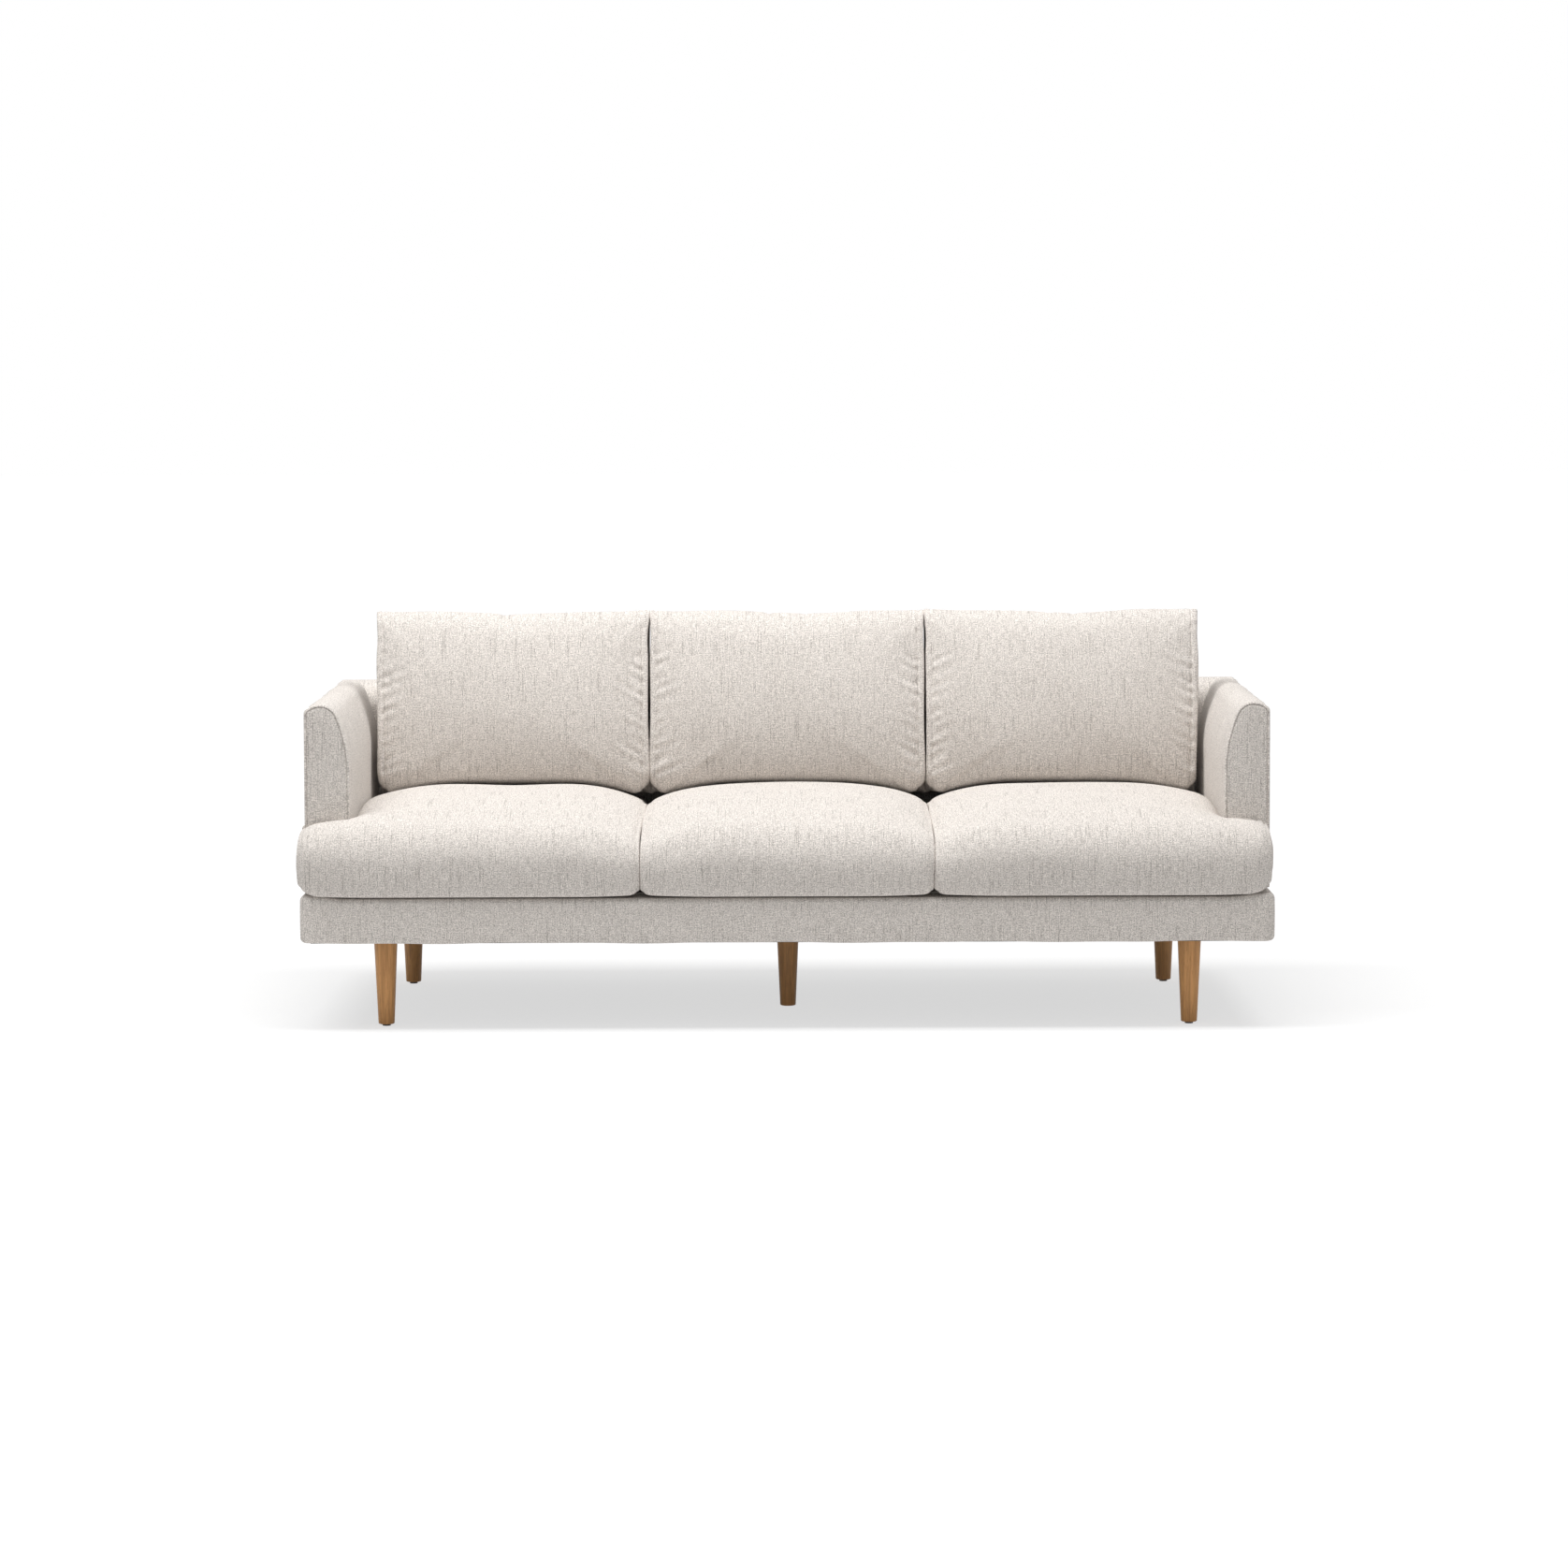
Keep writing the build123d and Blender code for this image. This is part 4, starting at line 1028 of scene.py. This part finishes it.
def makeWood(name, pale, deep, grainCell, poreCell, roughness):
    material, tree, skin = startMaterial(name, roughness, specular=0.4)
    place = objectPlace(tree)
    grain = stretchedNoise(tree, place, grainCell, 4.0, 0.55, 0.6)
    pores = stretchedNoise(tree, place, poreCell, 2.0, 0.5)
    body = mixColours(tree, remap(tree, grain, 0.33, 0.67), deep, pale)
    darkened = mixColours(tree, remap(tree, pores, 0.58, 0.72, 0.0, 0.7), body, (0.62, 0.55, 0.48), "MULTIPLY")
    tree.links.new(darkened, skin.inputs["Base Color"])
    tree.links.new(remap(tree, grain, 0.3, 0.7, roughness - 0.06, roughness + 0.08), skin.inputs["Roughness"])
    addRelief(tree, skin, pores, 0.0004, 0.3)
    return material


def makeWoven(name, pale, deep, cell, roughness=0.9):  # threads as noise of that cell, pale on deep
    material, tree, skin = startMaterial(name, roughness, specular=0.2)
    threads = stretchedNoise(tree, objectPlace(tree), cell, 2.0, 0.5)
    tree.links.new(mixColours(tree, remap(tree, threads, 0.4, 0.6), deep, pale), skin.inputs["Base Color"])
    addRelief(tree, skin, threads, 0.0004)
    return material


def makeHard(name, colour, worn, cell, roughness, metallic):  # a mottle that shifts both colour and gloss
    material, tree, skin = startMaterial(name, roughness, metallic)
    mottle = stretchedNoise(tree, objectPlace(tree), cell, 3.0)
    tree.links.new(mixColours(tree, remap(tree, mottle, 0.35, 0.65), colour, worn), skin.inputs["Base Color"])
    tree.links.new(remap(tree, mottle, 0.3, 0.7, roughness - 0.08, roughness + 0.1), skin.inputs["Roughness"])
    addRelief(tree, skin, mottle, 0.0002, 0.3)
    return material


woods = {  # slot, name, pale and deep colour, cell of the grain and of the pores, roughness
    "leg_oak": (
        "oiledOak", (0.68, 0.345, 0.125), (0.47, 0.225, 0.075), (0.007, 0.007, 0.16), (0.0011, 0.0011, 0.05), 0.46
    ),
    "frame_timber": (
        "frameTimber", (0.55, 0.36, 0.17), (0.42, 0.25, 0.11), (0.05, 0.02, 0.02), (0.03, 0.002, 0.002), 0.6
    ),
}
wovens = {  # slot, name, pale and deep colour, cell of the threads
    "deck_cloth": ("deckCloth", (0.62, 0.59, 0.54), (0.5, 0.47, 0.43), (0.0018, 0.0018, 0.0018)),
    "dust_cloth": ("dustCloth", (0.032, 0.03, 0.03), (0.018, 0.017, 0.017), (0.003, 0.003, 0.003)),
    "foam": ("foamBlock", (0.80, 0.74, 0.55), (0.72, 0.66, 0.47), (0.002, 0.002, 0.002)),
    "fibre_fill": ("fibreFill", (0.88, 0.88, 0.86), (0.8, 0.8, 0.78), (0.004, 0.004, 0.004)),
    "webbing": ("webbing", (0.12, 0.09, 0.065), (0.06, 0.045, 0.032), (0.003, 0.0025, 0.003)),
}
hards = {  # slot, name, colour, worn colour, cell of the mottle, roughness, metallic
    "zinc_steel": ("zincSteel", (0.62, 0.62, 0.6), (0.5, 0.5, 0.49), (0.004, 0.004, 0.004), 0.34, 1.0),
    "glide_plastic": ("glidePlastic", (0.02, 0.019, 0.018), (0.035, 0.033, 0.03), (0.003, 0.003, 0.003), 0.5, 0.0),
}
slotMaterials = {"oatmeal_linen": oatmealLinen}
for make, looks in ((makeWood, woods), (makeWoven, wovens), (makeHard, hards)):
    slotMaterials.update({slot: make(*look) for slot, look in looks.items()})
for node, piece in frame["nodes"].items():
    piece.data.materials.clear()
    piece.data.materials.append(slotMaterials[slotOf[node]])
print("sofa: materials on", len(frame["nodes"]), "nodes")


# Legs: a radius for each height, spun round

legForm = {"topRadius": 0.0258, "footRadius": 0.0175, "footEase": 0.0025, "girth": 0.14, "columns": 64}


def finishLeg(node):
    form = legForm
    name = "leg" + node.removeprefix("leg_").title().replace("_", "")
    low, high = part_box(node)
    cx, cy = (low.x + high.x) / 2, (low.y + high.y) / 2
    tall, foot, count = high.z - low.z, form["footEase"], form["columns"]
    up = np.concatenate([[0.0], np.linspace(0, foot, 6)[1:], np.linspace(foot, tall, 26)[1:]])
    share = (up - foot) / (tall - foot)
    radius = form["footRadius"] + (form["topRadius"] - form["footRadius"]) * np.clip(share, 0, 1)
    radius = radius - quarterFall(foot, up)
    angle = np.linspace(0, 2 * math.pi, count, endpoint=False)
    x = cx + radius[:, None] * np.cos(angle)
    y = cy + radius[:, None] * np.sin(angle)
    z = low.z + np.tile(up[:, None], (1, len(angle)))
    grid = np.stack([x, y, z], axis=-1)
    wide = np.concatenate([grid, grid[:, :1]], axis=1)
    uv = np.stack([np.tile(np.linspace(0, form["girth"], count + 1), (len(up), 1)), wide[..., 2]], axis=-1)
    piece = makePiece(name, grid, rowUv(uv, uv, np.zeros(len(up) - 1, bool)), slotMaterials["leg_oak"])
    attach(piece, "frame")
    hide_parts(node)


for node in ("leg_front_left", "leg_front_right", "leg_rear_left", "leg_rear_right", "leg_centre"):
    finishLeg(node)
print("sofa: legs turned")


# Studio: pale floor, soft light from above and before, white all round for the camera

studio = {
    "floorLit": 0.78,  # what the floor throws back on the sofa
    "floorSeen": 0.36,  # what the camera sees of it, with a glow that makes the open floor white
    "nearGlow": 0.652,
    "farGlow": 0.88,
    "glowRange": (1.2, 3.6),  # distance from the sofa's middle over which the glow grows
    "worldLight": 0.37,
    "floorHalf": 60.0,
}
lamps = {  # power, size, place, target
    "keyAbove": (221, (6.0, 1.5), (-0.40, -0.80, 4.2), (0.0, -0.1, 0.4)),
    "fillFront": (12, (4.0, 2.0), (-1.2, -5.5, 0.9), (0.0, 0.0, 0.4)),
}


def seenDirectly(tree):  # 1 for what the camera sees, straight or mirrored
    path = addNode(tree, "ShaderNodeLightPath")
    return combine(tree, "MAXIMUM", path.outputs["Is Camera Ray"], path.outputs["Is Glossy Ray"])


def makeStudio():
    half = studio["floorHalf"]
    corners = [(-half, -half, 0), (half, -half, 0), (half, half, 0), (-half, half, 0)]
    mesh = bpy.data.meshes.new("studioFloor")
    mesh.from_pydata(corners, [], [(0, 1, 2, 3)])
    floor = addObject("studioFloor", mesh)
    material, tree, skin = startMaterial("studioFloor", 1.0, specular=0.0)
    skin.inputs["Emission Color"].default_value = (1, 1, 1, 1)
    seen = seenDirectly(tree)
    shown = mixColours(tree, seen, (studio["floorLit"],) * 3, (studio["floorSeen"],) * 3)
    tree.links.new(shown, skin.inputs["Base Color"])
    span = addNode(tree, "ShaderNodeVectorMath", operation="LENGTH")
    tree.links.new(objectPlace(tree), span.inputs[0])
    glow = remap(tree, span.outputs["Value"], *studio["glowRange"], studio["nearGlow"], studio["farGlow"])
    tree.links.new(combine(tree, "MULTIPLY", seen, glow), skin.inputs["Emission Strength"])
    mesh.materials.append(material)

    world = bpy.data.worlds.new("studioWhite")
    scene.world = world
    world.use_nodes = True
    tree = world.node_tree
    sky = tree.nodes["Background"]
    sky.inputs["Color"].default_value = (1, 1, 1, 1)
    strength = addNode(tree, "ShaderNodeMapRange", {"To Min": studio["worldLight"], "To Max": 1.0})
    tree.links.new(seenDirectly(tree), strength.inputs["Value"])
    tree.links.new(strength.outputs["Result"], sky.inputs["Strength"])


def turnTo(holder, right, up, forward):  # lamps and cameras look along their own -Z
    holder.rotation_euler = Matrix(np.stack([right, up, -forward], axis=1).tolist()).to_euler()


def addLamp(name, power, size, place, target):
    lamp = bpy.data.lights.new(name, "AREA")
    lamp.shape = "RECTANGLE"
    lamp.size, lamp.size_y = size
    lamp.energy = power
    holder = addObject(name, lamp)
    holder.location = place
    toward = np.array(target, float) - np.array(place, float)
    toward /= np.linalg.norm(toward)
    side = np.cross(toward, (0, 1, 0.001))
    side /= np.linalg.norm(side)
    up = np.cross(side, toward)
    turnTo(holder, side, up, toward)


makeStudio()
for name, lampForm in lamps.items():
    addLamp(name, *lampForm)


# Camera of the photograph: place in metres, turns in degrees, focal length in pixels of the square picture
view = {
    "place": (0.02824, -10.15, 1.38806),
    "pitch": 5.0354,
    "yaw": -0.20086,
    "roll": -0.20564,
    "focal": 4853.83,
    "pixels": 1676,
}


def addCamera():
    pitch, yaw, roll = (math.radians(view[key]) for key in ("pitch", "yaw", "roll"))
    forward = np.array([math.sin(yaw) * math.cos(pitch), math.cos(yaw) * math.cos(pitch), -math.sin(pitch)])
    right = np.array([math.cos(yaw), -math.sin(yaw), 0])
    up = np.cross(right, forward)
    turnedRight = math.cos(roll) * right + math.sin(roll) * up
    turnedUp = -math.sin(roll) * right + math.cos(roll) * up
    lens = bpy.data.cameras.new("photoCamera")
    lens.sensor_width = 36.0
    lens.sensor_fit = "HORIZONTAL"
    lens.lens = view["focal"] * lens.sensor_width / view["pixels"]
    lens.clip_end = 200.0
    camera = addObject("photoCamera", lens)
    camera.location = view["place"]
    turnTo(camera, turnedRight, turnedUp, forward)
    scene.camera = camera


addCamera()
scene.view_settings.view_transform = "Standard"
print("sofa: studio and camera set")
